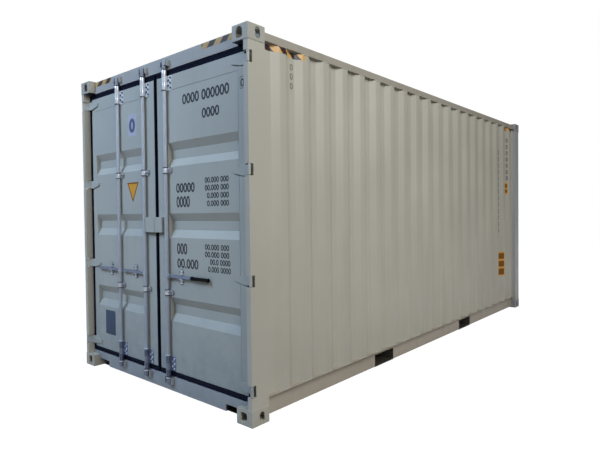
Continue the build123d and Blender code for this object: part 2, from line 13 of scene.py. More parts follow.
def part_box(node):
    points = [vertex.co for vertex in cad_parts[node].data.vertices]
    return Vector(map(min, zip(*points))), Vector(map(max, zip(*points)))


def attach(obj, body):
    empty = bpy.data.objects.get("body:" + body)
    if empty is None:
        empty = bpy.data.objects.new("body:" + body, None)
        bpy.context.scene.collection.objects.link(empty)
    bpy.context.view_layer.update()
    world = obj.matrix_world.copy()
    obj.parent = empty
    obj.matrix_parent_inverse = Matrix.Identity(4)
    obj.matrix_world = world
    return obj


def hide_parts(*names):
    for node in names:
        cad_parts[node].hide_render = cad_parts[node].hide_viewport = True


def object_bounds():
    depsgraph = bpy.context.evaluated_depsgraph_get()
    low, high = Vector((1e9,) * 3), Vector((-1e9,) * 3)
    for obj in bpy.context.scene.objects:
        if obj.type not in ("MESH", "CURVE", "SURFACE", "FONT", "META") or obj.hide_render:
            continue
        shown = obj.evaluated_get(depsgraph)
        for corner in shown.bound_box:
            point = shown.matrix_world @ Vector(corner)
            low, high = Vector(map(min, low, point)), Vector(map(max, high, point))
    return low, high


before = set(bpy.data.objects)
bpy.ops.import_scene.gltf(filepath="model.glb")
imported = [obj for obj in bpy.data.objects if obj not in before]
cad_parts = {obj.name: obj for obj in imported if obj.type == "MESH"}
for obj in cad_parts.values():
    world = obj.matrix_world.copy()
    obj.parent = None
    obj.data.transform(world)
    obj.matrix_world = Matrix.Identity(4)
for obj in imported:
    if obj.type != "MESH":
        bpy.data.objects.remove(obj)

CAD_LOW, CAD_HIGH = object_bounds()
DOOR_END = CAD_LOW.x
FRONT_END = CAD_HIGH.x
LEFT_SIDE = CAD_HIGH.y
TOP = CAD_HIGH.z
LEAF_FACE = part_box("right_door_frame")[0].x
DOORWARD = Vector((-1, 0, 0))
UPWARD = Vector((0, 0, 1))
SIDES = (-1, 1)
RODS = {"right": -0.165, "left_inner": 0.165, "left_outer": 0.595}
HUB = 1.016
CATCH_OFFSET = 0.18

log = logging.getLogger("container")
Colour = tuple[float, float, float]
Point = tuple[float, float, float]
Range = tuple[float, float]
Socket = bpy.types.NodeSocket
Feeds = dict[str | int, object]


class Body(str, Enum):
    """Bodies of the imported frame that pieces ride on."""

    CONTAINER = "container"
    RIGHT_DOOR = "right_door"
    LEFT_DOOR = "left_door"
    RIGHT_ROD = "right_rod"
    LEFT_INNER_ROD = "left_inner_rod"
    LEFT_OUTER_ROD = "left_outer_rod"
    RIGHT_HANDLE = "right_handle"
    LEFT_INNER_HANDLE = "left_inner_handle"
    LEFT_OUTER_HANDLE = "left_outer_handle"


class Slot(str, Enum):
    """Material slots of the record."""

    PAINTED = "painted"
    GALVANISED = "galvanised"
    RUBBER = "rubber"
    GRIP = "grip"


def srgb(red: int, green: int, blue: int) -> Colour:
    """Linear colour from display values of 0 to 255.

    Args:
        red: Red display value.
        green: Green display value.
        blue: Blue display value.

    Returns:
        The three linear channels.
    """
    channels = []
    for value in (red, green, blue):
        share = value / 255
        channels.append(share / 12.92 if share <= 0.04045 else ((share + 0.055) / 1.055) ** 2.4)
    return tuple(channels)


@dataclass(frozen=True)
class Grain:
    """Noise with its levels: the noise from low to high gives a value from to_low to to_high.

    The scale is in cells to the metre, the detail in octaves, and the stretch multiplies each
    axis of the coordinates.
    """

    scale: float
    detail: float
    low: float = 0.0
    high: float = 1.0
    to_low: float = 0.0
    to_high: float = 1.0
    stretch: Point = (1.0, 1.0, 1.0)


class Wiring:
    """Adds and links nodes of one node tree."""

    def __init__(self, tree: bpy.types.NodeTree) -> None:
        """Takes the tree that is filled, and empties it."""
        self.tree = tree
        tree.nodes.clear()

    def add(self, kind: str, feeds: Feeds | None = None, **settings: object) -> bpy.types.Node:
        """Adds a node.

        Args:
            kind: Type name of the node.
            feeds: Sockets, numbers and colours for its inputs, by name or place.
            settings: Properties of the node to set.

        Returns:
            The new node.
        """
        node = self.tree.nodes.new(kind)
        for name, value in settings.items():
            setattr(node, name, value)
        self.feed(node.inputs, feeds or {})
        return node

    def feed(self, inputs: bpy.types.NodeInputs, feeds: Feeds) -> None:
        """Links or sets inputs.

        Args:
            inputs: Inputs of a node.
            feeds: Sockets, numbers and colours for them, by name or place.
        """
        for name, value in feeds.items():
            if isinstance(value, Socket):
                self.tree.links.new(value, inputs[name])
            else:
                full = (*value, 1.0) if inputs[name].type == "RGBA" else value
                inputs[name].default_value = full

    def math(self, operation: str, *values: object) -> Socket:
        """Adds a maths node on sockets or numbers and gives its result."""
        feeds = dict(enumerate(values))
        return self.add("ShaderNodeMath", feeds, operation=operation).outputs[0]

    def blend(self, share: object, first: object, second: object) -> Socket:
        """Mixes two colours, with share as how much of the second shows."""
        feeds = {0: share, 6: first, 7: second}
        return self.add("ShaderNodeMix", feeds, data_type="RGBA").outputs[2]

    def tint(self, colour: Socket, factor: Socket) -> Socket:
        """Lightens or darkens a colour by a factor."""
        feeds = {"Value": factor, "Color": colour}
        return self.add("ShaderNodeHueSaturation", feeds).outputs[0]

    def place(self) -> Socket:
        """Adds the object's own coordinates."""
        return self.add("ShaderNodeTexCoord").outputs["Object"]

    def axis(self, place: Socket, name: str) -> Socket:
        """Takes one coordinate of a place, by the name of its axis."""
        return self.add("ShaderNodeSeparateXYZ", {0: place}).outputs[name]

    def noise(self, place: Socket, grain: Grain) -> Socket:
        """Adds a grain's noise without its levels.

        Args:
            place: Socket of the coordinates.
            grain: The noise's scale, detail and stretch.

        Returns:
            The noise value's socket, from 0 to 1.
        """
        mapping = self.add("ShaderNodeMapping", {"Vector": place, "Scale": grain.stretch})
        feeds = {"Vector": mapping.outputs[0], "Scale": grain.scale, "Detail": grain.detail}
        return self.add("ShaderNodeTexNoise", feeds).outputs["Fac"]

    def grain(self, place: Socket, grain: Grain) -> Socket:
        """Adds a grain's noise at a place, mapped to its levels."""
        return self.spread(self.noise(place, grain), (grain.low, grain.high),
                           (grain.to_low, grain.to_high))

    def spread(self, value: Socket, levels: Range, results: Range = (0.0, 1.0)) -> Socket:
        """Maps a value from one range to another, clamped.

        Args:
            value: Socket of the value.
            levels: Start and end of its range.
            results: Results at the start and at the end.

        Returns:
            The result's socket.
        """
        names = ("Value", "From Min", "From Max", "To Min", "To Max")
        feeds = dict(zip(names, (value, *levels, *results)))
        return self.add("ShaderNodeMapRange", feeds).outputs[0]

    def bump(self, relief: Socket, depth: float, strength: object) -> Socket:
        """Turns a relief, whose height of 1 is the depth, into a normal."""
        feeds = {"Height": relief, "Distance": depth, "Strength": strength}
        return self.add("ShaderNodeBump", feeds).outputs[0]


class EffectGroup:
    """A shader node group that several finishes share."""

    name = "effect"
    inputs: Feeds = {}
    outputs = {"Colour": "NodeSocketColor", "Roughness": "NodeSocketFloat",
               "Normal": "NodeSocketVector"}

    def tree(self) -> bpy.types.NodeTree:
        """The group's tree, made once.

        Returns:
            The node tree.
        """
        found = bpy.data.node_groups.get(self.name)
        if found:
            return found
        tree = bpy.data.node_groups.new(self.name, "ShaderNodeTree")
        for name, value in self.inputs.items():
            kind = "NodeSocketColor" if isinstance(value, tuple) else "NodeSocketFloat"
            socket = tree.interface.new_socket(name, in_out="INPUT", socket_type=kind)
            socket.default_value = (*value, 1.0) if isinstance(value, tuple) else value
        for name, kind in self.outputs.items():
            tree.interface.new_socket(name, in_out="OUTPUT", socket_type=kind)
        wiring = Wiring(tree)
        entry = wiring.add("NodeGroupInput").outputs
        wiring.add("NodeGroupOutput", self.wire(wiring, entry))
        return tree

    def wire(self, wiring: Wiring, entry: bpy.types.NodeOutputs) -> Feeds:
        """Fills the group from its entry and gives its outputs by name."""
        raise NotImplementedError


class WeatheredPaint(EffectGroup):
    """Sprayed steel paint: faint cloudiness, run-off streaks, dust low down, orange peel. Where
    the dust is blue-grey, on the door leaves, the sill and the front castings, it is painted
    shade, darker towards the bottom.
    """

    name = "weathered_paint"
    inputs = {"Colour": (0.4, 0.4, 0.35), "Cloud": 0.06, "Streak": 0.10, "Dust": 0.18,
              "Dust Colour": (0.3, 0.25, 0.18), "Dust Top": 0.55, "Peel": 0.12}
    cloud = Grain(1.1, 4.0, 0.3, 0.7, -1.0, 1.0)
    streaks = Grain(9.0, 4.0, 0.52, 0.78, stretch=(1.0, 1.0, 0.05))
    streak_patches = Grain(0.9, 2.0, 0.42, 0.62)
    streak_colour = srgb(96, 92, 80)
    dust_speckle = Grain(14.0, 6.0, 0.35, 0.7, 0.35, 0.65)
    dust_roughness = 0.6
    sheen = Grain(5.0, 4.0, 0.3, 0.7, 0.40, 0.52)
    peel = Grain(260.0, 2.0)
    peel_share = 0.10
    waves = Grain(6.0, 2.0, stretch=(1.0, 1.0, 0.35))
    relief_depth = 0.0016

    def wire(self, wiring: Wiring, entry: bpy.types.NodeOutputs) -> Feeds:
        """Fills the group.

        Args:
            wiring: The group's wiring.
            entry: Its inputs by name.

        Returns:
            What its outputs give, by name.
        """
        place = wiring.place()
        cloud = wiring.math("MULTIPLY_ADD", wiring.grain(place, self.cloud), entry["Cloud"], 1.0)
        tinted = wiring.tint(entry["Colour"], cloud)
        streak = wiring.math("MULTIPLY", wiring.grain(place, self.streaks),
                             wiring.grain(place, self.streak_patches))
        streaked = wiring.blend(wiring.math("MULTIPLY", streak, entry["Streak"]), tinted,
                                self.streak_colour)
        # Dust low down: real dust on the body; where its colour is blue-grey, on the door
        # leaves, the sill and the front castings, it is painted shade, darker towards the
        # bottom.
        share = wiring.math("DIVIDE", wiring.axis(place, "Z"), entry["Dust Top"])
        low = wiring.math("MAXIMUM", wiring.math("SUBTRACT", 1.0, share), 0.0)
        dust_and_shade_low = wiring.math("MULTIPLY", wiring.math("MULTIPLY", low, low),
                            wiring.grain(place, self.dust_speckle))
        dust = wiring.math("MULTIPLY", dust_and_shade_low, entry["Dust"])
        relief = wiring.math("MULTIPLY_ADD", wiring.noise(place, self.peel), self.peel_share,
                             wiring.noise(place, self.waves))
        return {"Colour": wiring.blend(dust, streaked, entry["Dust Colour"]),
                "Roughness": wiring.math("MULTIPLY_ADD", dust, self.dust_roughness,
                                         wiring.grain(place, self.sheen)),
                "Normal": wiring.bump(relief, self.relief_depth, entry["Peel"])}


class ZincBloom(EffectGroup):
    """Hot-dip zinc: pale spangle, dull bloom, fine pitting, and painted shade by height."""

    name = "zinc_bloom"
    inputs = {"Colour": (0.5, 0.52, 0.55), "Bloom": 0.5, "Spray": 0.0}
    spangle_scale = 85.0
    spangle_shades = (0.95, 1.04)
    spangle_roughness = (0.28, 0.40)
    bloom = Grain(16.0, 5.0, 0.35, 0.7)
    bloom_colour = srgb(190, 196, 202)
    bloom_roughness = 0.25
    pits = Grain(420.0, 3.0)
    pit_depth = 0.0004
    pit_strength = 0.12
    # Painted shade: darker below 0.35 m, above 2.77 m under the header, and more towards the
    # bottom.
    painted_shade_levels = (((0.318, 0.350), (1.0, 0.0)), ((2.770, 2.776), (0.0, 0.6)),
                    ((0.5, 2.3), (0.58, 0.04)))
    painted_shade_colour = srgb(70, 82, 106)

    def wire(self, wiring: Wiring, entry: bpy.types.NodeOutputs) -> Feeds:
        """Fills the group.

        Args:
            wiring: The group's wiring.
            entry: Its inputs by name.

        Returns:
            What its outputs give, by name.
        """
        place = wiring.place()
        spangle = wiring.add("ShaderNodeTexVoronoi",
                             {"Vector": place, "Scale": self.spangle_scale})
        facet = wiring.add("ShaderNodeSeparateColor", {0: spangle.outputs["Color"]}).outputs
        amount = wiring.math("MULTIPLY", wiring.grain(place, self.bloom), entry["Bloom"])
        metal = wiring.tint(entry["Colour"],
                            wiring.spread(facet[0], (0.0, 1.0), self.spangle_shades))
        height = wiring.axis(place, "Z")
        foot, head, fade = (wiring.spread(height, levels, shares)
                            for levels, shares in self.painted_shade_levels)
        painted_shade_mask = wiring.math("MAXIMUM", wiring.math("MAXIMUM", foot, head), fade)
        rough = wiring.spread(facet[1], (0.0, 1.0), self.spangle_roughness)
        return {"Colour": wiring.blend(wiring.math("MULTIPLY", painted_shade_mask, entry["Spray"]),
                                       wiring.blend(amount, metal, self.bloom_colour),
                                       self.painted_shade_colour),
                "Roughness": wiring.math("MULTIPLY_ADD", amount, self.bloom_roughness, rough),
                "Normal": wiring.bump(wiring.noise(place, self.pits), self.pit_depth,
                                      self.pit_strength)}


@dataclass(frozen=True)
class Finish:
    """A material: the base of every finish."""

    name: str
    colour: Colour
    roughness: float = 0.45

    def make(self) -> bpy.types.Material:
        """The finish's material, made once.

        Returns:
            The material.
        """
        found = bpy.data.materials.get(self.name)
        if found:
            return found
        material = bpy.data.materials.new(self.name)
        material.use_nodes = True
        wiring = Wiring(material.node_tree)
        shader = wiring.add("ShaderNodeBsdfPrincipled", self.wire(wiring))
        wiring.add("ShaderNodeOutputMaterial", {"Surface": shader.outputs[0]})
        return material

    def wire(self, wiring: Wiring) -> Feeds:
        """Gives the shader's inputs by name."""
        raise NotImplementedError

    def effect(self, wiring: Wiring, group: EffectGroup, **values: object) -> Feeds:
        """Places a shared effect.

        Args:
            wiring: The material's wiring.
            group: The effect.
            values: Its input values by name, with _ for a space.

        Returns:
            The shader's inputs by name.
        """
        feeds = {name.replace("_", " "): value for name, value in values.items()}
        given = wiring.add("ShaderNodeGroup", node_tree=group.tree())
        wiring.feed(given.inputs, feeds)
        return {"Base Color": given.outputs["Colour"], "Roughness": given.outputs["Roughness"],
                "Normal": given.outputs["Normal"]}


@dataclass(frozen=True)
class SteelPaint(Finish):
    """Painted steel, with a painted shadow on the flat at a shaded level where one is given."""

    cloud: float = 0.045
    streak: float = 0.16
    dust: float = 0.30
    dust_colour: Colour = srgb(150, 138, 118)
    dust_and_shade_top: float = 0.55
    peel: float = 0.20
    shaded_level: float | None = None
    shaded_reach = (0.001, 0.004)
    shaded_shares = (0.95, 0.0)
    shaded_colour = srgb(34, 44, 62)

    def wire(self, wiring: Wiring) -> Feeds:
        """Wires the weathered paint and the painted shadow.

        Args:
            wiring: The material's wiring.

        Returns:
            The shader's inputs by name.
        """
        feeds = self.effect(wiring, WeatheredPaint(), Colour=self.colour, Cloud=self.cloud,
                            Streak=self.streak, Dust=self.dust, Dust_Colour=self.dust_colour,
                            Dust_Top=self.dust_and_shade_top, Peel=self.peel)
        # Painted shadow: a dark band within a few millimetres of the shaded level.
        if self.shaded_level:
            above = wiring.math("SUBTRACT", wiring.axis(wiring.place(), "Z"), self.shaded_level)
            painted_shadow = wiring.spread(wiring.math("ABSOLUTE", above), self.shaded_reach,
                                  self.shaded_shares)
            feeds["Base Color"] = wiring.blend(painted_shadow, feeds["Base Color"], self.shaded_colour)
        return feeds


@dataclass(frozen=True)
class Zinc(Finish):
    """Galvanised steel of the door gear, with painted shade by height and a painted dark rim
    where it turns away from the view.
    """

    bloom: float = 0.55
    metallic: float = 0.6
    painted_shade_share: float = 0.0
    # Share of the painted rim shade, darker where the surface turns away from the view.
    rim: float = 0.7
    rim_shade_reach = (0.40, 0.80)
    rim_shade_colour = srgb(66, 76, 92)

    def wire(self, wiring: Wiring) -> Feeds:
        """Wires the zinc bloom, the painted shade by height and the painted dark rim.

        Args:
            wiring: The material's wiring.

        Returns:
            The shader's inputs by name.
        """
        feeds = self.effect(wiring, ZincBloom(), Colour=self.colour, Bloom=self.bloom,
                            Spray=self.painted_shade_share)
        # Painted shade: a dark rim where the surface turns away from the view.
        facing = wiring.add("ShaderNodeLayerWeight").outputs["Facing"]
        rim = wiring.spread(facing, self.rim_shade_reach, (0.0, self.rim))
        feeds["Base Color"] = wiring.blend(rim, feeds["Base Color"], self.rim_shade_colour)
        return {**feeds, "Metallic": self.metallic}


@dataclass(frozen=True)
class Rubber(Finish):
    """Black rubber of the gaskets and the grip, with fine ribs or none."""

    rib_scale: float = 0.0
    specular = 0.05
    dust = Grain(30.0, 6.0, 0.5, 0.85, 0.0, 0.06)
    dust_colour = srgb(66, 74, 92)
    sheen = Grain(60.0, 3.0, 0.3, 0.7, 0.52, 0.74)
    moulding = Grain(700.0, 2.0)
    moulding_share = 0.3
    relief_depth = 0.001
    relief_strength = 0.4

    def wire(self, wiring: Wiring) -> Feeds:
        """Wires dust, a dull sheen and a fine moulded grain.

        Args:
            wiring: The material's wiring.

        Returns:
            The shader's inputs by name.
        """
        place = wiring.place()
        dust = wiring.grain(place, self.dust)
        relief = wiring.noise(place, self.moulding)
        if self.rib_scale:
            ribs = wiring.add("ShaderNodeTexWave", {"Vector": place, "Scale": self.rib_scale},
                              bands_direction="Y")
            relief = wiring.math("MULTIPLY_ADD", relief, self.moulding_share,
                                 ribs.outputs["Fac"])
        return {"Base Color": wiring.blend(dust, self.colour, self.dust_colour),
                "Roughness": wiring.grain(place, self.sheen),
                "Specular IOR Level": self.specular,
                "Normal": wiring.bump(relief, self.relief_depth, self.relief_strength)}


@dataclass(frozen=True)
class Plywood(Finish):
    """Sealed plywood floor: sheets with dark joints, grain along X, and scuffs."""

    sheets = (("X", 2.4), ("Y", 1.154))
    joint = 0.006
    joint_colour = srgb(28, 22, 18)
    broad_grain = Grain(24.0, 8.0, stretch=(0.08, 1.0, 1.0))
    fine_grain = Grain(180.0, 4.0, stretch=(0.03, 1.0, 1.0))
    fine_share = 0.3
    figure_levels = (0.32, 0.68)
    figure_colour = srgb(150, 104, 62)
    scuffs = Grain(3.0, 6.0, 0.55, 0.75, 0.0, 0.5)
    scuff_colour = srgb(96, 84, 70)
    sheen_levels = (0.3, 0.7)
    sheen = (0.45, 0.68)
    relief_depth = 0.001
    relief_strength = 0.5

    def wire(self, wiring: Wiring) -> Feeds:
        """Wires grain, joints and scuffs.

        Args:
            wiring: The material's wiring.

        Returns:
            The shader's inputs by name.
        """
        place = wiring.place()
        broad = wiring.math("MULTIPLY", wiring.noise(place, self.broad_grain),
                            1 - self.fine_share)
        figure = wiring.math("MULTIPLY_ADD", wiring.noise(place, self.fine_grain),
                             self.fine_share, broad)
        tone = wiring.blend(wiring.spread(figure, self.figure_levels), self.colour,
                            self.figure_colour)
        worn = wiring.blend(wiring.grain(place, self.scuffs), tone, self.scuff_colour)
        folded = [wiring.math("PINGPONG", wiring.axis(place, axis), pitch / 2)
                  for axis, pitch in self.sheets]
        joints = wiring.math("LESS_THAN", wiring.math("MINIMUM", *folded), self.joint / 2)
        relief = wiring.math("SUBTRACT", figure, joints)
        return {"Base Color": wiring.blend(joints, worn, self.joint_colour),
                "Roughness": wiring.spread(figure, self.sheen_levels, self.sheen),
                "Normal": wiring.bump(relief, self.relief_depth, self.relief_strength)}


@dataclass(frozen=True)
class HazardStripes(Finish):
    """Slanted stripes in two colours on a thin sticker."""

    dark: Colour = srgb(24, 22, 22)
    along: str = "Y"
    pitch: float = 0.115
    phase: float = 0.0
    fade = Grain(40.0, 5.0, 0.4, 0.75, 0.0, 0.25)
    faded_colour = srgb(190, 160, 110)
    sheen = (0.35, 0.5)

    def wire(self, wiring: Wiring) -> Feeds:
        """Wires the stripes, softly faded.

        Args:
            wiring: The material's wiring.

        Returns:
            The shader's inputs by name.
        """
        place = wiring.place()
        slant = wiring.math("ADD", wiring.axis(place, self.along), wiring.axis(place, "Z"))
        folded = wiring.math("PINGPONG", wiring.math("ADD", slant, self.phase), self.pitch / 2)
        stripe = wiring.math("LESS_THAN", folded, self.pitch / 4)
        fade = wiring.grain(place, self.fade)
        bright = wiring.blend(fade, self.colour, self.faded_colour)
        return {"Base Color": wiring.blend(stripe, bright, self.dark),
                "Roughness": wiring.spread(fade, (0.0, self.fade.to_high), self.sheen)}


@dataclass(frozen=True)
class Film(Finish):
    """Printed or stencilled film: one colour with faint wear and blotches."""

    worn: Colour = srgb(150, 150, 140)
    wear = Grain(55.0, 6.0, 0.5, 0.8, 0.0, 0.25)
    wear_reach = (0.0, 0.3)
    wear_roughness = 0.2

    def wire(self, wiring: Wiring) -> Feeds:
        """Wires wear and a change of gloss.

        Args:
            wiring: The material's wiring.

        Returns:
            The shader's inputs by name.
        """
        mask = wiring.grain(wiring.place(), self.wear)
        dull = min(self.roughness + self.wear_roughness, 1.0)
        return {"Base Color": wiring.blend(mask, self.colour, self.worn),
                "Roughness": wiring.spread(mask, self.wear_reach, (self.roughness, dull))}


BODY_PAINT = SteelPaint("body_paint", srgb(182, 178, 165))
SHEET_PAINT = replace(BODY_PAINT, name="sheet_paint", peel=0.35, cloud=0.06)
# Door leaf paint: its blue-grey dust, reaching up to 1.4 m, is painted shade that darkens the
# leaves towards the bottom.
LEAF_PAINT = SteelPaint("leaf_paint", srgb(174, 176, 168), dust=0.85,
                        dust_colour=srgb(88, 106, 120), dust_and_shade_top=1.4)
LEAF_SHEET = replace(LEAF_PAINT, name="leaf_sheet_paint", peel=0.35, cloud=0.05)
# Header paint: a cooler, darker copy of the body paint, as painted shade on the door header.
HEADER_SHADE_PAINT = SteelPaint("header_shade_paint", srgb(166, 166, 162))
RAIL_TOP_PAINT = SteelPaint("rail_top_paint", srgb(166, 159, 146))
# Sill paint: a bluer, darker copy of the body paint with blue-grey dust, as painted shade on the
# sill.
SILL_SHADE_PAINT = SteelPaint("sill_shade_paint", srgb(152, 157, 160), dust=0.5,
                        dust_colour=srgb(104, 108, 110))
# Front frame paint: a cooler copy of the body paint, as painted shade on the far end; its dust
# low down is real dust.
FRONT_SHADE_PAINT = SteelPaint("front_frame_shade_paint", srgb(170, 172, 172), dust=0.4)
# Keeper paint: darker and bluer than the body paint, as painted shade that hides the keepers'
# lit faces.
KEEPER_SHADE_PAINT = SteelPaint("keeper_shade_paint", srgb(150, 154, 154), dust=0.0)
# Seam paint: darker than the leaf paint, so that the seams and the blade outlines show as
# painted shade lines.
SEAM_SHADE_PAINT = SteelPaint("seam_shade_paint", srgb(126, 126, 120), dust=0.0)
# Bottom rail paint: a warmer, darker copy of the body paint, as painted shade with a painted
# warm reflection of the ground; its dust and streaks are real dirt.
RAIL_SHADE_PAINT = SteelPaint("rail_shade_paint", srgb(176, 166, 152), dust=0.5, streak=0.25)
CAST_PAINT = SteelPaint("cast_paint", srgb(178, 175, 163), peel=0.7, dust=0.5)
# Top casting paint: a painted shadow on the underside of the top castings, at the shaded level.
CAST_TOP = SteelPaint("cast_top_paint", srgb(169, 167, 157), peel=0.7, dust=0.0,
                      shaded_level=TOP - 0.118)
# Front casting paint: a cooler copy of the casting paint, with blue-grey dust low down, as
# painted shade on the far end.
FRONT_CAST_SHADE = SteelPaint("front_cast_shade_paint", srgb(152, 156, 159), peel=0.7, dust=0.4,
                        dust_colour=srgb(96, 102, 108))
UNDER_PAINT = SteelPaint("under_paint", srgb(62, 58, 52), dust=0.1, streak=0.3)
ZINC = Zinc("zinc", srgb(198, 206, 216), metallic=0.12, painted_shade_share=0.9, rim=0.6)
ZINC_PLATE = Zinc("zinc_plate", srgb(232, 236, 242), metallic=0.12, painted_shade_share=0.9, rim=0.0)
# Shaded copy of the zinc for the lower sleeves: painted shade.
ZINC_SHADED = Zinc("zinc_shaded", srgb(54, 66, 92), bloom=0.1, metallic=0.3, rim=0.0)
# Dark zinc of the upper bolts, pivot heads and rivets: painted shade.
ZINC_BOLT_SHADE = Zinc("zinc_bolt_shade", srgb(84, 92, 106), bloom=0.1)
ZINC_BRIGHT = Zinc("zinc_bright", srgb(226, 230, 236), bloom=0.2, painted_shade_share=0.7)
ZINC_DULL = Zinc("zinc_dull", srgb(104, 120, 148), bloom=0.15)
# Pale zinc of the foot bolts and the rings by the lower sleeves: painted highlights.
ZINC_HIGHLIGHT = Zinc("zinc_highlight", srgb(176, 190, 212), bloom=0.2, rim=0.0)
# Dark zinc of the guide collars and washers: painted shadow lines.
ZINC_SHADOW = Zinc("zinc_shadow", srgb(52, 60, 74), bloom=0.05, metallic=0.2)
GASKET = Rubber("gasket_rubber", srgb(10, 16, 34))
GRIP = Rubber("grip_rubber", srgb(16, 16, 18), rib_scale=45.0)
FLOOR_PLY = Plywood("floor_plywood", srgb(112, 74, 42))
STENCIL = Film("stencil_black", srgb(38, 42, 48), 0.5, srgb(130, 132, 126))
FADED_STENCIL = Film("stencil_faded", srgb(116, 113, 102), 0.5, srgb(150, 148, 136))
HEADER_HAZARD = HazardStripes("header_hazard", srgb(192, 158, 102), dark=srgb(68, 62, 60),
                              pitch=0.155, phase=0.070)
SIDE_HAZARD = HazardStripes("side_hazard", srgb(216, 166, 96), dark=srgb(52, 38, 36),
                            along="X", pitch=0.155)
PLATE = Film("data_plate", srgb(62, 74, 92), 0.8, srgb(92, 102, 116))
PALE_LABEL = Film("pale_label", srgb(182, 184, 196), 0.4, srgb(174, 178, 186))
SLATE_PRINT = Film("slate_print", srgb(88, 92, 124), 0.4, srgb(124, 128, 150))
AMBER_LABEL = Film("amber_label", srgb(222, 156, 48), 0.4, srgb(200, 160, 90))
ORANGE_LABEL = Film("orange_label", srgb(214, 154, 46), 0.4, srgb(200, 148, 66))
BROWN_PRINT = Film("brown_print", srgb(126, 78, 8), 0.85, srgb(158, 108, 30))


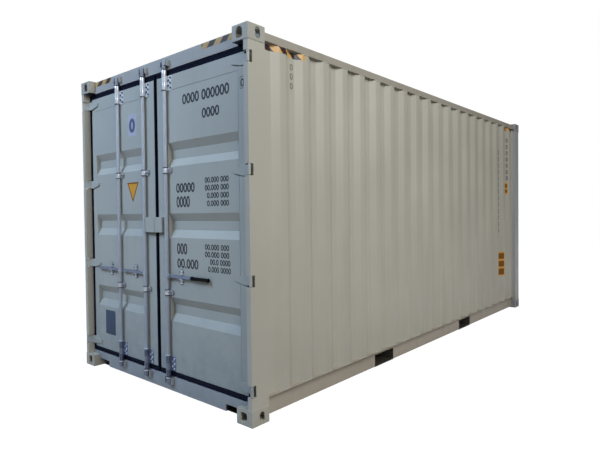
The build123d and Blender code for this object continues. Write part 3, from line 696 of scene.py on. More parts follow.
class Mesh:
    """A mesh piece that is built with bmesh operators and then handed to the frame.

    The stacks give each disc's radius at the foot and at the head and its height, as shares of
    the radius, and its sides.
    """

    bolt_stack = ((1.35, 1.35, 0.22, 16), (1.0, 1.0, 0.75, 6), (0.9, 0.62, 0.16, 12))
    dome_stack = ((1.0, 0.9, 0.3, 14), (0.9, 0.45, 0.28, 14))
    turning_steps = 28
    bead_resolution = 2
    edge_segments = 2
    crisp_angle = 35.0

    def __init__(self) -> None:
        """Starts an empty mesh."""
        self.bm = bmesh.new()

    def take(self, bm: bmesh.types.BMesh) -> None:
        """Adds another mesh's shape and frees that mesh.

        Args:
            bm: The other mesh.
        """
        holder = bpy.data.meshes.new("taken")
        bm.to_mesh(holder)
        bm.free()
        self.bm.from_mesh(holder)
        bpy.data.meshes.remove(holder)

    def outward(self) -> None:
        """Turns all faces outward."""
        bmesh.ops.recalc_face_normals(self.bm, faces=self.bm.faces)

    def block(self, low: Sequence[float], high: Sequence[float], round_by: float = 0.0) -> None:
        """Adds a box with rounded edges.

        Args:
            low: Lowest corner.
            high: Highest corner.
            round_by: Radius of its edges.
        """
        low, high = Vector(low), Vector(high)
        matrix = Matrix.Translation((low + high) / 2) @ Matrix.Diagonal((*(high - low), 1.0))
        made = bmesh.ops.create_cube(self.bm, size=1.0, matrix=matrix)
        if round_by:
            edges = {edge for vert in made["verts"] for edge in vert.link_edges}
            bmesh.ops.bevel(self.bm, geom=list(edges), offset=round_by, profile=0.5,
                            segments=self.edge_segments, affect="EDGES", material=-1)

    def disc(self, place: Vector, axis: Vector, radius: float, depth: float,
             sides: int = 20, top: float | None = None) -> None:
        """Adds a short cylinder or cone standing on a place.

        Args:
            place: Centre of its foot.
            axis: Direction that it stands in, of length 1.
            radius: Radius at the foot.
            depth: Height.
            sides: Number of sides.
            top: Radius at the top, or None for the same.
        """
        turn = axis.to_track_quat("Z", "Y").to_matrix().to_4x4()
        bmesh.ops.create_cone(self.bm, cap_ends=True, segments=sides, radius1=radius,
                              radius2=radius if top is None else top, depth=depth,
                              matrix=Matrix.Translation(place + axis * depth / 2) @ turn)

    def stack(self, discs: Sequence[Sequence[float]], place: Vector, axis: Vector,
              radius: float) -> None:
        """Stands discs on one another.

        Args:
            discs: Each disc's shares of the radius and its sides.
            place: Centre on the seat.
            axis: Direction that they point in.
            radius: Radius that the shares are of.
        """
        for foot, head, tall, sides in discs:
            self.disc(place, axis, radius * foot, radius * tall, sides, radius * head)
            place = place + axis * radius * tall

    def bolt(self, place: Vector, radius: float) -> None:
        """Adds a hexagon head on a washer, with a chamfered crown, on the doors' side."""
        self.stack(self.bolt_stack, place, DOORWARD, radius)

    def dome(self, place: Vector, radius: float) -> None:
        """Adds a round rivet or pin head on the doors' side."""
        self.stack(self.dome_stack, place, DOORWARD, radius)

    def bead(self, points: Sequence[Sequence[float]], radius: float) -> None:
        """Adds a round bead along a path.

        Args:
            points: Points of the path.
            radius: Radius of the bead.
        """
        curve = bpy.data.curves.new("bead_path", "CURVE")
        curve.dimensions = "3D"
        curve.bevel_depth = radius
        curve.bevel_resolution = self.bead_resolution
        curve.use_fill_caps = True
        spline = curve.splines.new("POLY")
        spline.points.add(len(points) - 1)
        for target, point in zip(spline.points, points):
            target.co = (*point, 1.0)
        holder = bpy.data.objects.new("bead_path", curve)
        self.bm.from_mesh(bpy.data.meshes.new_from_object(holder))
        bpy.data.objects.remove(holder)
        bpy.data.curves.remove(curve)

    def strip(self, path: Sequence[Vector], tall: float, thickness: float, side: int) -> None:
        """Adds a thin upright film that stands on a path.

        Args:
            path: Points of its foot.
            tall: Height.
            thickness: Thickness, inward from the path.
            side: 1 where its outside looks to +Y and -1 where to -Y.
        """
        bm = bmesh.new()
        verts = [bm.verts.new(point) for point in path]
        edges = [bm.edges.new(pair) for pair in zip(verts, verts[1:])]
        raised = bmesh.ops.extrude_edge_only(bm, edges=edges)["geom"]
        self.shift(bm, raised, (0, 0, tall))
        film = bmesh.ops.extrude_face_region(bm, geom=bm.faces[:])["geom"]
        self.shift(bm, film, (0, -side * thickness, 0))
        bmesh.ops.recalc_face_normals(bm, faces=bm.faces)
        self.take(bm)

    def shift(self, bm: bmesh.types.BMesh, geometry: Sequence[object], by: Point) -> None:
        """Moves the vertices among what an extrusion of a mesh made."""
        bmesh.ops.translate(bm, vec=by, verts=[item for item in geometry
                                               if isinstance(item, bmesh.types.BMVert)])

    def spun(self, profile: Sequence[Range], foot: Vector, axis: Vector = UPWARD) -> None:
        """Adds a turned shape.

        Args:
            profile: Points (radius, distance along the axis) of half its section.
            foot: Point that the distances start at.
            axis: The axis it is turned about.
        """
        turn = axis.to_track_quat("Z", "Y").to_matrix()
        closed = profile[0] == profile[-1]
        verts = [self.bm.verts.new(foot + turn @ Vector((radius, 0, along)))
                 for radius, along in (profile[:-1] if closed else profile)]
        pairs = list(zip(verts, verts[1:])) + ([(verts[-1], verts[0])] if closed else [])
        edges = [self.bm.edges.new(pair) for pair in pairs]
        bmesh.ops.spin(self.bm, geom=verts + edges, cent=foot, axis=axis, angle=2 * math.pi,
                       steps=self.turning_steps, use_merge=True)

    def finish(self, name: str, body: Body, finish: Finish, slot: Slot = Slot.PAINTED,
               smooth_angle: float = 40.0) -> bpy.types.Object:
        """Makes the object and gives it to the frame.

        Args:
            name: Name of the piece.
            body: Body that it rides on.
            finish: Its finish.
            slot: Material slot of the record; not used.
            smooth_angle: Edges sharper than this stay sharp, in degrees.

        Returns:
            The finished object.
        """
        mesh = bpy.data.meshes.new(name)
        self.bm.to_mesh(mesh)
        self.bm.free()
        mesh.polygons.foreach_set("use_smooth", [True] * len(mesh.polygons))
        mesh.set_sharp_from_angle(angle=math.radians(smooth_angle))
        mesh.materials.append(finish.make())
        piece = bpy.data.objects.new(name, mesh)
        bpy.context.scene.collection.objects.link(piece)
        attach(piece, body.value)
        log.info("%s: %d faces on %s", name, len(mesh.polygons), body.value)
        return piece


@dataclass(frozen=True)
class Rounding:
    """How a steel piece is shown: a copy of its node with merged seams and rounded edges."""

    node: str
    finish: Finish
    radius: float
    segments: int = 2
    body: Body = Body.CONTAINER
    slot: Slot = Slot.PAINTED
    bends_only: bool = False
    sharp_from: float = 32.0
    seam: float | None = None
    merge_within = 1e-5
    level_within = 1e-4
    flat_within = 0.5
    bend_from = 8.0
    upright_from = 0.99
    bend_least_area = 0.05
    smooth_angle = 50.0

    def edges(self, bm: bmesh.types.BMesh) -> list[bmesh.types.BMEdge]:
        """Edges that are rounded.

        Args:
            bm: The merged copy.

        Returns:
            The sharp edges off the level of a seam, or only the upright bends of a sheet.
        """
        limit = math.radians(self.bend_from if self.bends_only else self.sharp_from)
        sharp = [edge for edge in bm.edges if edge.is_manifold
                 and edge.calc_face_angle() > limit]
        if self.bends_only:
            return [edge for edge in sharp
                    if abs((edge.verts[0].co - edge.verts[1].co).normalized().z)
                    > self.upright_from
                    and min(face.calc_area() for face in edge.link_faces)
                    > self.bend_least_area]
        return [edge for edge in sharp if self.seam is None
                or max(abs(vert.co.z - self.seam) for vert in edge.verts) > self.level_within]

    def build(self) -> None:
        """Builds the rounded copy, which replaces its node."""
        mesh = Mesh()
        mesh.bm.from_mesh(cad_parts[self.node].data)
        bmesh.ops.remove_doubles(mesh.bm, verts=mesh.bm.verts, dist=self.merge_within)
        bmesh.ops.dissolve_limit(mesh.bm, angle_limit=math.radians(self.flat_within),
                                 verts=mesh.bm.verts, edges=mesh.bm.edges,
                                 use_dissolve_boundaries=False)
        bmesh.ops.bevel(mesh.bm, geom=self.edges(mesh.bm), offset=self.radius,
                        segments=self.segments, profile=0.5, affect="EDGES", material=-1,
                        clamp_overlap=True)
        piece = mesh.finish(f"{self.node}_steel", self.body, self.finish, self.slot,
                            self.smooth_angle)
        weighted = piece.modifiers.new("flat_faces", "WEIGHTED_NORMAL")
        weighted.keep_sharp = True
        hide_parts(self.node)


class Shell:
    """The container's painted steel, floor and frame."""

    castings = {"door_castings_bottom": CAST_PAINT, "front_castings_bottom": FRONT_CAST_SHADE,
                "door_castings_top": CAST_TOP, "front_castings_top": FRONT_CAST_SHADE}
    casting_radius = 0.005
    members = {"right_door_post": BODY_PAINT, "left_door_post": BODY_PAINT,
               "front_posts": FRONT_SHADE_PAINT, "top_side_rails": RAIL_TOP_PAINT,
               "door_header": HEADER_SHADE_PAINT, "door_sill": SILL_SHADE_PAINT,
               "front_header": FRONT_SHADE_PAINT, "front_sill": FRONT_SHADE_PAINT}
    member_radius = 0.003
    rails = ("bottom_rails", "rail_webs")
    plate_radius = 0.0015
    sheets = ("right_side_wall", "left_side_wall", "front_wall")
    bend_radius = 0.009
    soft_segments = 3
    plain = {"cross_members": UNDER_PAINT, "fork_pocket_sides": UNDER_PAINT,
             "fork_pocket_plates": UNDER_PAINT, "roof": SHEET_PAINT, "floor": FLOOR_PLY,
             "hinge_pins": ZINC}

    def build(self) -> None:
        """Builds the rounded copies of the frame and the walls."""
        for node, finish in self.castings.items():
            Rounding(node, finish, self.casting_radius, self.soft_segments).build()
        for node, finish in self.members.items():
            Rounding(node, finish, self.member_radius).build()
        rail_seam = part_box("rail_webs")[1].z
        for node in self.rails:
            Rounding(node, RAIL_SHADE_PAINT, self.plate_radius, seam=rail_seam).build()
        for node in self.sheets:
            Rounding(node, SHEET_PAINT, self.bend_radius, self.soft_segments,
                     bends_only=True).build()
        Rounding("cam_keepers", KEEPER_SHADE_PAINT, self.plate_radius).build()

    def dress(self) -> None:
        """Gives the other nodes their finishes."""
        for node, finish in self.plain.items():
            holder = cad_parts[node]
            holder.data.materials.clear()
            holder.data.materials.append(finish.make())
            log.info("%s: %s", node, finish.name)


@dataclass(frozen=True)
class WallLine:
    """The line that a corrugated side wall follows in plan."""

    side: int
    bend_radius = Shell.bend_radius
    level_within = 1e-4
    reach = 0.002

    def corners(self) -> list[tuple[float, float]]:
        """Corners of the wall's outside.

        Returns:
            The corners (x, y), from the door end to the front.
        """
        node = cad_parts["left_side_wall" if self.side > 0 else "right_side_wall"]
        low = min(vert.co.z for vert in node.data.vertices)
        foot = {(round(vert.co.x, 4), round(vert.co.y, 4)) for vert in node.data.vertices
                if abs(vert.co.z - low) < self.level_within}
        outermost: dict[float, float] = {}
        for x, y in foot:
            if x not in outermost or self.side * y > self.side * outermost[x]:
                outermost[x] = y
        return [(x, outermost[x]) for x in sorted(outermost)]

    def face(self, x: float) -> float:
        """Coordinate y of the wall's outside at an x.

        Args:
            x: Place along the wall.

        Returns:
            The y of the outside there.
        """
        corners = self.corners()
        for (near_x, near_y), (far_x, far_y) in zip(corners, corners[1:]):
            if near_x <= x <= far_x:
                return near_y + (far_y - near_y) * (x - near_x) / (far_x - near_x)
        return corners[0][1]

    def along(self, x: float) -> Vector:
        """Direction of the wall's outside at an x, level, to the front and of length 1."""
        rise = self.face(x + self.reach) - self.face(x - self.reach)
        return Vector((2 * self.reach, rise, 0)).normalized()

    def path(self, height: float, start: float = -math.inf, stop: float = math.inf,
             out: float = 0.0) -> list[Vector]:
        """Points along the wall's outside.

        Args:
            height: Height of the points.
            start: Lowest x.
            stop: Highest x.
            out: Distance that the points stand off the wall.

        Returns:
            The points, from the door end to the front.
        """
        line = [(x, y) for x, y in self.rounded() if start < x < stop]
        if start > -math.inf:
            line = [(start, self.face(start))] + line + [(stop, self.face(stop))]
        return [Vector((x, y + self.side * out, height)) for x, y in line]

    def rounded(self) -> list[Vector]:
        """Points of the wall's outside, with three to each rounded bend.

        Returns:
            The points, from the door end to the front.
        """
        corners = [Vector(corner) for corner in self.corners()]
        line = [corners[0]]
        for before, bend, after in zip(corners, corners[1:], corners[2:]):
            near = bend + (before - bend).normalized() * self.bend_radius
            far = bend + (after - bend).normalized() * self.bend_radius
            line += [near, (bend + (near + far) / 2) / 2, far]
        return line + [corners[-1]]


class WeldSeams:
    """Painted weld beads where the steel members meet."""

    radius = 0.003
    inset = 0.0018

    def build(self) -> None:
        """Builds the beads round each side wall and at the castings."""
        low, high = (corner.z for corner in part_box("right_side_wall"))
        mesh = Mesh()
        for side in SIDES:
            wall = WallLine(side)
            mesh.bead(wall.path(low + self.inset), self.radius)
            mesh.bead(wall.path(high - self.inset), self.radius)
            ends = wall.corners()
            for x, y in (ends[0], ends[-1]):
                mesh.bead([(x, y, low), (x, y, high)], self.radius)
        self.casting_joints(mesh)
        mesh.finish("weld_seams", Body.CONTAINER, BODY_PAINT)

    def casting_joints(self, mesh: Mesh) -> None:
        """Adds a bead where each post meets its castings.

        Args:
            mesh: Mesh that takes them.
        """
        low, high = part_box("right_door_post")
        jamb = abs(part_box("right_door_gasket")[0].y)
        for height in (low.z, high.z):
            for side in SIDES:
                y = -side * low.y
                for near, far in ((low.x, high.x), (-high.x, -low.x)):
                    mesh.bead([(near, y, height), (far, y, height)], self.radius)
                mesh.bead([(low.x, y, height), (low.x, side * jamb, height)], self.radius)


@dataclass(frozen=True)
class LeafPart:
    """What rides on one door leaf: the leaf's side and the places of its rods."""

    side: int
    rods: tuple[float, ...]

    @property
    def name(self) -> str:
        """Side's name as the nodes have it."""
        return "left" if self.side > 0 else "right"

    @property
    def body(self) -> Body:
        """Body that the leaf's pieces ride on."""
        return Body.LEFT_DOOR if self.side > 0 else Body.RIGHT_DOOR

    @property
    def retainers(self) -> str:
        """Node of the leaf's handle retainers."""
        return "left_handle_retainers" if self.side > 0 else "right_handle_retainer"


@dataclass(frozen=True)
class DoorLeaf(LeafPart):
    """One door leaf with its gasket, bolts and seams.

    The bolt rows give the first bolt's height above the bracket's end, the number of bolts, and
    the distance from the rod.
    """

    steel_radii = {"door_frame": 0.004, "door_hinges": 0.0025, "lock_box": 0.0015}
    panel_radius = 0.004
    panel_sharp_from = 25.0
    plate_radius = 0.0012
    gasket_profile = (
        (0.0, 0.002), (0.010, 0.001), (0.015, 0.005), (0.031, 0.005), (0.038, 0.0015),
        (0.0436, 0.006), (0.0436, 0.013), (0.036, 0.017), (0.020, 0.020), (0.0, 0.020))
    bracket_thickness = 0.004
    bolt_rows = ((0.02, 3, 0.062), (0.04, 2, 0.037))
    bolt_pitch = 0.0425
    bolt_radius = 0.007875
    middle_bolts = (0.872, 1.915)
    middle_shift = 0.047
    middle_lift = 0.007
    middle_radius = 0.00735
    retainer_inset = 0.014
    retainer_half = 0.018
    retainer_radius = 0.007
    seam_radius = 0.0012
    hinge_levels = (0.257, 1.053, 1.855, 2.658)
    blade_half = 0.038
    blade_tip_half = 0.014
    blade_taper = 0.103
    blade_root = 0.128

    def build(self) -> None:
        """Builds the leaf's pieces."""
        self.steel()
        self.gasket()
        self.bolts()
        self.panel_seams()

    def steel(self) -> None:
        """Shows the leaf's steel with rounded edges."""
        for part, radius in self.steel_radii.items():
            Rounding(f"{self.name}_{part}", LEAF_PAINT, radius, body=self.body).build()
        Rounding(f"{self.name}_door_panel", LEAF_SHEET, self.panel_radius,
                 Shell.soft_segments, self.body, sharp_from=self.panel_sharp_from).build()
        for node in (f"{self.name}_rod_brackets", self.retainers):
            Rounding(node, ZINC_PLATE, self.plate_radius, body=self.body,
                     slot=Slot.GALVANISED).build()

    def gasket(self) -> None:
        """Builds the lipped gasket as one mitred ring round the leaf."""
        low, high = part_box(f"{self.name}_door_frame")
        outer_low, outer_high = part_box(f"{self.name}_door_gasket")
        seam_y = outer_high.y if self.side < 0 else outer_low.y
        seam_edge = high.y if self.side < 0 else low.y
        seam_share = abs(seam_y - seam_edge) / (low.z - outer_low.z)
        mesh = Mesh()
        rings = []
        for y, z, out_y, out_z in ((low.y, low.z, -1, -1), (high.y, low.z, 1, -1),
                                   (high.y, high.z, 1, 1), (low.y, high.z, -1, 1)):
            share = seam_share if out_y == -self.side else 1.0
            verts = [mesh.bm.verts.new((LEAF_FACE + depth, y + out_y * out * share,
                                        z + out_z * out))
                     for out, depth in self.gasket_profile]
            rings.append([mesh.bm.edges.new(pair)
                          for pair in zip(verts, verts[1:] + verts[:1])])
        for ring, following in zip(rings, rings[1:] + rings[:1]):
            bmesh.ops.bridge_loops(mesh.bm, edges=ring + following)
        mesh.outward()
        piece = mesh.finish(f"{self.name}_gasket_lips", self.body, GASKET, Slot.RUBBER,
                            mesh.crisp_angle)
        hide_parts(f"{self.name}_door_gasket")

    def bolts(self) -> None:
        """Builds the bolts of the brackets and retainers."""
        gear, feet = Mesh(), Mesh()
        low, high = (corner.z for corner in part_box(f"{self.name}_rod_brackets"))
        keep_low, keep_high = (corner.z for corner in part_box(self.retainers))
        face = LEAF_FACE - self.bracket_thickness
        for rod in self.rods:
            for mesh, start, step in ((feet, low, 1), (gear, high, -1)):
                for first, count, shift in self.bolt_rows:
                    for row in range(count):
                        z = start + step * (first + self.bolt_pitch * row)
                        mesh.bolt(Vector((face, rod - shift, z)), self.bolt_radius)
            for level in self.middle_bolts:
                gear.bolt(Vector((face - self.middle_lift, rod - self.middle_shift, level)),
                          self.middle_radius)
        for rod in self.rods:
            y = rod + self.side * CATCH_OFFSET
            for z in (keep_low + self.retainer_inset, keep_high - self.retainer_inset):
                for shift in (-self.retainer_half, self.retainer_half):
                    gear.bolt(Vector((face, y + shift, z)), self.retainer_radius)
        # Upper bolts in dark zinc as painted shade; foot bolts in pale zinc as painted
        # highlights.
        gear.finish(f"{self.name}_gear_bolts", self.body, ZINC_BOLT_SHADE, Slot.GALVANISED)
        feet.finish(f"{self.name}_foot_bolts", self.body, ZINC_HIGHLIGHT, Slot.GALVANISED)

    def panel_seams(self) -> None:
        """Builds the weld line over the pressed panel and along each hinge blade, in a darker
        paint as painted shade lines.
        """
        low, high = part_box(f"{self.name}_door_panel")
        mesh = Mesh()
        mesh.bead([(LEAF_FACE, low.y, high.z), (LEAF_FACE, high.y, high.z)],
                  self.seam_radius)
        hinge_low, hinge_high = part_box(f"{self.name}_door_hinges")
        tip = self.side * (hinge_low.y if self.side > 0 else hinge_high.y)
        shoulder, root = tip + self.blade_taper, tip + self.blade_root
        outline = ((root, -self.blade_half), (shoulder, -self.blade_half),
                   (tip, -self.blade_tip_half), (tip, self.blade_tip_half),
                   (shoulder, self.blade_half))
        for level in self.hinge_levels:
            mesh.bead([(LEAF_FACE, self.side * y, level + z) for y, z in outline],
                      self.seam_radius)
        mesh.finish(f"{self.name}_panel_seams", self.body, SEAM_SHADE_PAINT)


@dataclass(frozen=True)
class LockRod:
    """One lock rod with its handle."""

    name: str
    y: float
    rod_radius = 0.0015
    handle_radius = 0.002
    pivot = 0.038
    ear_reach = 0.006
    head_radius = 0.0095

    def build(self) -> None:
        """Builds the rod, the handle and the head of its pivot."""
        rod, handle = f"{self.name}_lock_rod", f"{self.name}_handle"
        body = Body(f"{self.name}_rod")
        Rounding(rod, ZINC, self.rod_radius, body=body, slot=Slot.GALVANISED).build()
        Rounding(handle, ZINC_DULL, self.handle_radius, body=Body(handle),
                 slot=Slot.GALVANISED).build()
        mesh = Mesh()
        pivot = self.y + math.copysign(self.pivot, self.y)
        mesh.dome(Vector((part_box(handle)[0].x - self.ear_reach, pivot, HUB)),
                  self.head_radius)
        mesh.finish(f"{rod}_pivot_head", body, ZINC_BOLT_SHADE, Slot.GALVANISED)


@dataclass(frozen=True)
class GuideSleeves(LeafPart):
    """Sleeves and rings of the rod guides and the catches over the handles of one leaf, with
    pale rings as painted highlights and dark collars and washers as painted shadow lines.

    The spans give the foot and the head of each sleeve, and the catches the shift from the
    hub's height and the radii of the lobe and of the washer behind it.
    """

    rod_recess = 0.0395
    bore = 0.0178
    outer = 0.0222
    bright_spans = ((2.600, 2.766), (0.852, 0.892), (1.895, 1.935))
    low_span = (0.150, 0.318)
    waisted_from = 0.1
    waist_depth = 0.0018
    waist_start = 0.05
    waist_slope = 0.006
    end_depth = 0.003
    end_slope = 0.008
    ring_rim = 0.001
    # Dark collars at the sleeves' ends: painted shadow lines.
    collars = (0.142, 0.320, 0.844, 0.893, 1.887, 1.936, 2.591, 2.768)
    collar_height = 0.007
    highlight_rings = (0.1335, 0.329)
    highlight_ring_height = 0.009
    bracket_thickness = DoorLeaf.bracket_thickness
    catches = ((0.036, 0.024, 0.029), (-0.038, 0.022, 0.027))
    catch_depth = 0.004
    dome_radius = 0.013
    washer_depth = 0.002
    middle_radius = 0.019
    middle_depth = 0.005
    middle_washer = 0.024

    def sleeve(self, mesh: Mesh, rod: float, low: float, high: float) -> None:
        """Adds a sleeve round a rod, with a waist where it is long.

        Args:
            mesh: Mesh that takes it.
            rod: The rod's y.
            low: Height of its foot.
            high: Height of its head.
        """
        tall, rim = high - low, self.outer - self.end_depth
        profile = [(self.bore, 0.0), (rim, 0.0), (self.outer, self.end_slope)]
        if tall > self.waisted_from:
            waist = self.outer - self.waist_depth
            inner = self.waist_start + self.waist_slope
            profile += [(self.outer, self.waist_start), (waist, inner), (waist, tall - inner),
                        (self.outer, tall - self.waist_start)]
        profile += [(self.outer, tall - self.end_slope), (rim, tall), (self.bore, tall),
                    (self.bore, 0.0)]
        mesh.spun(profile, Vector((DOOR_END + self.rod_recess, rod, low)))

    def ring(self, mesh: Mesh, rod: float, level: float, tall: float) -> None:
        """Adds a plain ring round a rod.

        Args:
            mesh: Mesh that takes it.
            rod: The rod's y.
            level: Height of its foot.
            tall: Its height.
        """
        rim = self.outer + self.ring_rim
        mesh.spun([(self.bore, 0.0), (rim, 0.0), (rim, tall), (self.bore, tall),
                   (self.bore, 0.0)], Vector((DOOR_END + self.rod_recess, rod, level)))

    def disc(self, mesh: Mesh, y: float, z: float, radius: float, depth: float,
             lift: float = DoorLeaf.bracket_thickness) -> None:
        """Adds a disc whose back stands off the leaf's face by the lift."""
        mesh.disc(Vector((LEAF_FACE - lift, y, z)), DOORWARD, radius, depth)

    def bright(self, mesh: Mesh, rod: float) -> None:
        """Adds a rod's bright sleeves, handle catch and middle discs.

        Args:
            mesh: Mesh that takes them.
            rod: The rod's y.
        """
        for low, high in self.bright_spans:
            self.sleeve(mesh, rod, low, high)
        y = rod + self.side * CATCH_OFFSET
        for shift, radius, _ in self.catches:
            self.disc(mesh, y, HUB + shift, radius, self.catch_depth)
            face = LEAF_FACE - self.bracket_thickness - self.catch_depth
            mesh.dome(Vector((face, y, HUB + shift)), self.dome_radius)
        for level in DoorLeaf.middle_bolts:
            self.disc(mesh, rod - DoorLeaf.middle_shift, level, self.middle_radius,
                      self.middle_depth, self.bracket_thickness + self.washer_depth)

    def low(self, mesh: Mesh, rod: float) -> None:
        """Adds a rod's lower sleeve."""
        self.sleeve(mesh, rod, *self.low_span)

    def pale(self, mesh: Mesh, rod: float) -> None:
        """Adds a rod's pale rings, as painted highlights."""
        for level in self.highlight_rings:
            self.ring(mesh, rod, level, self.highlight_ring_height)

    def dark(self, mesh: Mesh, rod: float) -> None:
        """Adds a rod's dark collars and the dark washers behind its catch and middle discs, as
        painted shadow lines.

        Args:
            mesh: Mesh that takes them.
            rod: The rod's y.
        """
        for shift, _, radius in self.catches:
            self.disc(mesh, rod + self.side * CATCH_OFFSET, HUB + shift, radius,
                      self.washer_depth)
        for level in DoorLeaf.middle_bolts:
            self.disc(mesh, rod - DoorLeaf.middle_shift, level, self.middle_washer,
                      self.washer_depth)
        for level in self.collars:
            self.ring(mesh, rod, level, self.collar_height)

    def build(self) -> None:
        """Builds one piece for each tone of zinc: bright, painted shade, painted highlight and
        painted shadow.
        """
        for part, finish, fill in (("guide_sleeves", ZINC_BRIGHT, self.bright),
                                   ("lower_sleeves", ZINC_SHADED, self.low),
                                   ("highlight_rings", ZINC_HIGHLIGHT, self.pale),
                                   ("guide_shadow_collars", ZINC_SHADOW, self.dark)):
            mesh = Mesh()
            for rod in self.rods:
                fill(mesh, rod)
            mesh.outward()
            mesh.finish(f"{self.name}_{part}", self.body, finish, Slot.GALVANISED,
                        mesh.crisp_angle)


class Grip:
    """Rubber sleeve on the right handle, with end collars."""

    waist_share = 0.86
    end_share = 0.72
    collar = (0.004, 0.012, 0.016)
    merge_within = 1e-6

    def build(self) -> None:
        """Builds the sleeve as a turned shape round the handle."""
        low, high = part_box("right_handle_grip")
        radius, length = (high.z - low.z) / 2, high.y - low.y
        edge, flat, slope = self.collar
        half = [(0.0, 0.0), (radius * self.end_share, 0.0), (radius, edge), (radius, flat),
                (radius * self.waist_share, slope)]
        mirrored = [(share, length - along) for share, along in reversed(half)]
        mesh = Mesh()
        mesh.spun(half + mirrored, Vector(((low.x + high.x) / 2, low.y, (low.z + high.z) / 2)),
                  Vector((0, 1, 0)))
        bmesh.ops.remove_doubles(mesh.bm, verts=mesh.bm.verts, dist=self.merge_within)
        mesh.outward()
        piece = mesh.finish("right_grip_sleeve", Body.RIGHT_HANDLE, GRIP, Slot.GRIP)
        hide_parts("right_handle_grip")


class Markings:
    """Generic zeros, plain labels and hazard stripes in the places of the real markings.

    The door's lines give the text, its distance from the middle, width, foot and height. The
    upright lines give the distance from the door end, head, foot, width and number of digits.
    Films give the start and stop from the door end, foot and head.
    """

    film = 0.0004
    film_thickness = 0.00032
    bold = 0.028
    door_lines = (
        ("0000 000000", 0.382, 0.573, 2.443, 0.085), ("0000", 0.631, 0.209, 2.300, 0.079),
        ("0", 1.079, 0.036, 2.466, 0.062), ("00000", 0.282, 0.245, 1.720, 0.080),
        ("0000", 0.284, 0.178, 1.597, 0.094), ("00.000 000", 0.655, 0.280, 1.785, 0.046),
        ("00.000 000", 0.655, 0.280, 1.724, 0.046), ("0.000 000", 0.680, 0.255, 1.663, 0.046),
        ("0.000 000", 0.680, 0.255, 1.601, 0.046), ("000", 0.280, 0.138, 1.205, 0.094),
        ("00.000", 0.281, 0.280, 1.090, 0.080), ("00.000 000", 0.645, 0.285, 1.255, 0.046),
        ("00.000 000", 0.645, 0.285, 1.197, 0.046), ("00.0 0000", 0.705, 0.238, 1.139, 0.046),
        ("0.000 0000", 0.680, 0.267, 1.080, 0.046))
    box_place = (1.071, 2.455)
    box_size = (0.051, 0.088)
    box_line = 0.004
    upright_lines = ((5.590, 2.65, 1.98, 0.035, 7), (5.265, 2.44, 1.19, 0.035, 13))
    faded_lines = ((0.527, 2.72, 2.50, 0.036, 3),)
    digit_share = 0.7
    digit_foot = 0.2
    header_films = ((-1, 0.640, 1.054), (1, 0.735, 1.054))
    header_drops = (0.048, 0.004)
    side_reach = (0.217, 0.661)
    side_drops = (0.050, 0.002)
    plate_low = (0.735, 0.352)
    plate_high = (0.918, 0.592)
    plate_thickness = 0.0015
    plate_rounding = 0.0006
    rivet_inset = 0.010
    rivet_radius = 0.004
    triangle_centre = (0.383, 1.780)
    triangle_flatten = 0.90
    border_radius = 0.124
    amber_radius = 0.096
    patch_low = (0.310, 2.270)
    patch_high = (0.448, 2.475)
    patch_zero = ("0", -0.429, 0.100, 2.303, 0.132)
    patch_bold = 0.05
    orange_films = ((5.130, 5.410, 0.562, 0.921), (5.541, 5.605, 1.789, 1.964))
    orange_blocks = ((5.150, 5.390, 0.580, 0.670), (5.150, 5.390, 0.700, 0.785),
                     (5.150, 5.390, 0.815, 0.900), (5.550, 5.598, 1.810, 1.860),
                     (5.550, 5.598, 1.885, 1.945))

    def write(self, mesh: Mesh, text: str, matrix: Matrix, bold: float = bold) -> None:
        """Adds a line of digits to a piece, made a mesh of size one before it is placed.

        Args:
            mesh: Mesh that takes it.
            text: Digits, points and blanks.
            matrix: Matrix from the line of size one to its place.
            bold: How much the strokes are thickened.
        """
        curve = bpy.data.curves.new("digits", "FONT")
        curve.body = text
        curve.extrude = self.film
        curve.offset = bold
        holder = bpy.data.objects.new("digits", curve)
        bm = bmesh.new()
        bm.from_mesh(bpy.data.meshes.new_from_object(holder))
        bpy.data.objects.remove(holder)
        bpy.data.curves.remove(curve)
        low, high = (Vector(choose(vert.co[i] for vert in bm.verts) for i in range(3))
                     for choose in (min, max))
        size = high - low
        unit = Matrix.Diagonal((1 / size.x, 1 / size.y, self.film / size.z, 1.0))
        bmesh.ops.transform(bm, matrix=matrix @ unit @ Matrix.Translation(-low),
                            verts=bm.verts)
        mesh.take(bm)

    def door_place(self, start: float, width: float, base: float, tall: float,
                   lift: float = film) -> Matrix:
        """Matrix from a line of size one to its place on the doors, from start to the right."""
        return Matrix(((0, 0, 1, LEAF_FACE - lift), (-width, 0, 0, -start),
                       (0, tall, 0, base), (0, 0, 0, 1)))

    def build(self) -> None:
        """Builds every marking."""
        self.door_stencils()
        self.upright_stencils("side_stencils", self.upright_lines, STENCIL)
        self.upright_stencils("faded_side_stencils", self.faded_lines, FADED_STENCIL)
        self.hazard_stripes()
        self.door_labels()
        self.side_films("orange_patches", ORANGE_LABEL, self.orange_films, self.film)
        self.side_films("orange_patch_blocks", BROWN_PRINT, self.orange_blocks,
                        self.film * 2)

    def door_stencils(self) -> None:
        """Builds the zeros on the right door and the box round the lone one."""
        mesh = Mesh()
        for line, *place in self.door_lines:
            self.write(mesh, line, self.door_place(*place))
        near, foot = self.box_place
        far, head = near + self.box_size[0], foot + self.box_size[1]
        face, line = LEAF_FACE - self.film, self.box_line
        for z in (foot, head - line):
            mesh.block((face, -far, z), (LEAF_FACE, -near, z + line))
        for y in (-far, -near - line):
            mesh.block((face, y, foot), (LEAF_FACE, y + line, head))
        mesh.outward()
        mesh.finish("door_stencils", Body.RIGHT_DOOR, STENCIL)

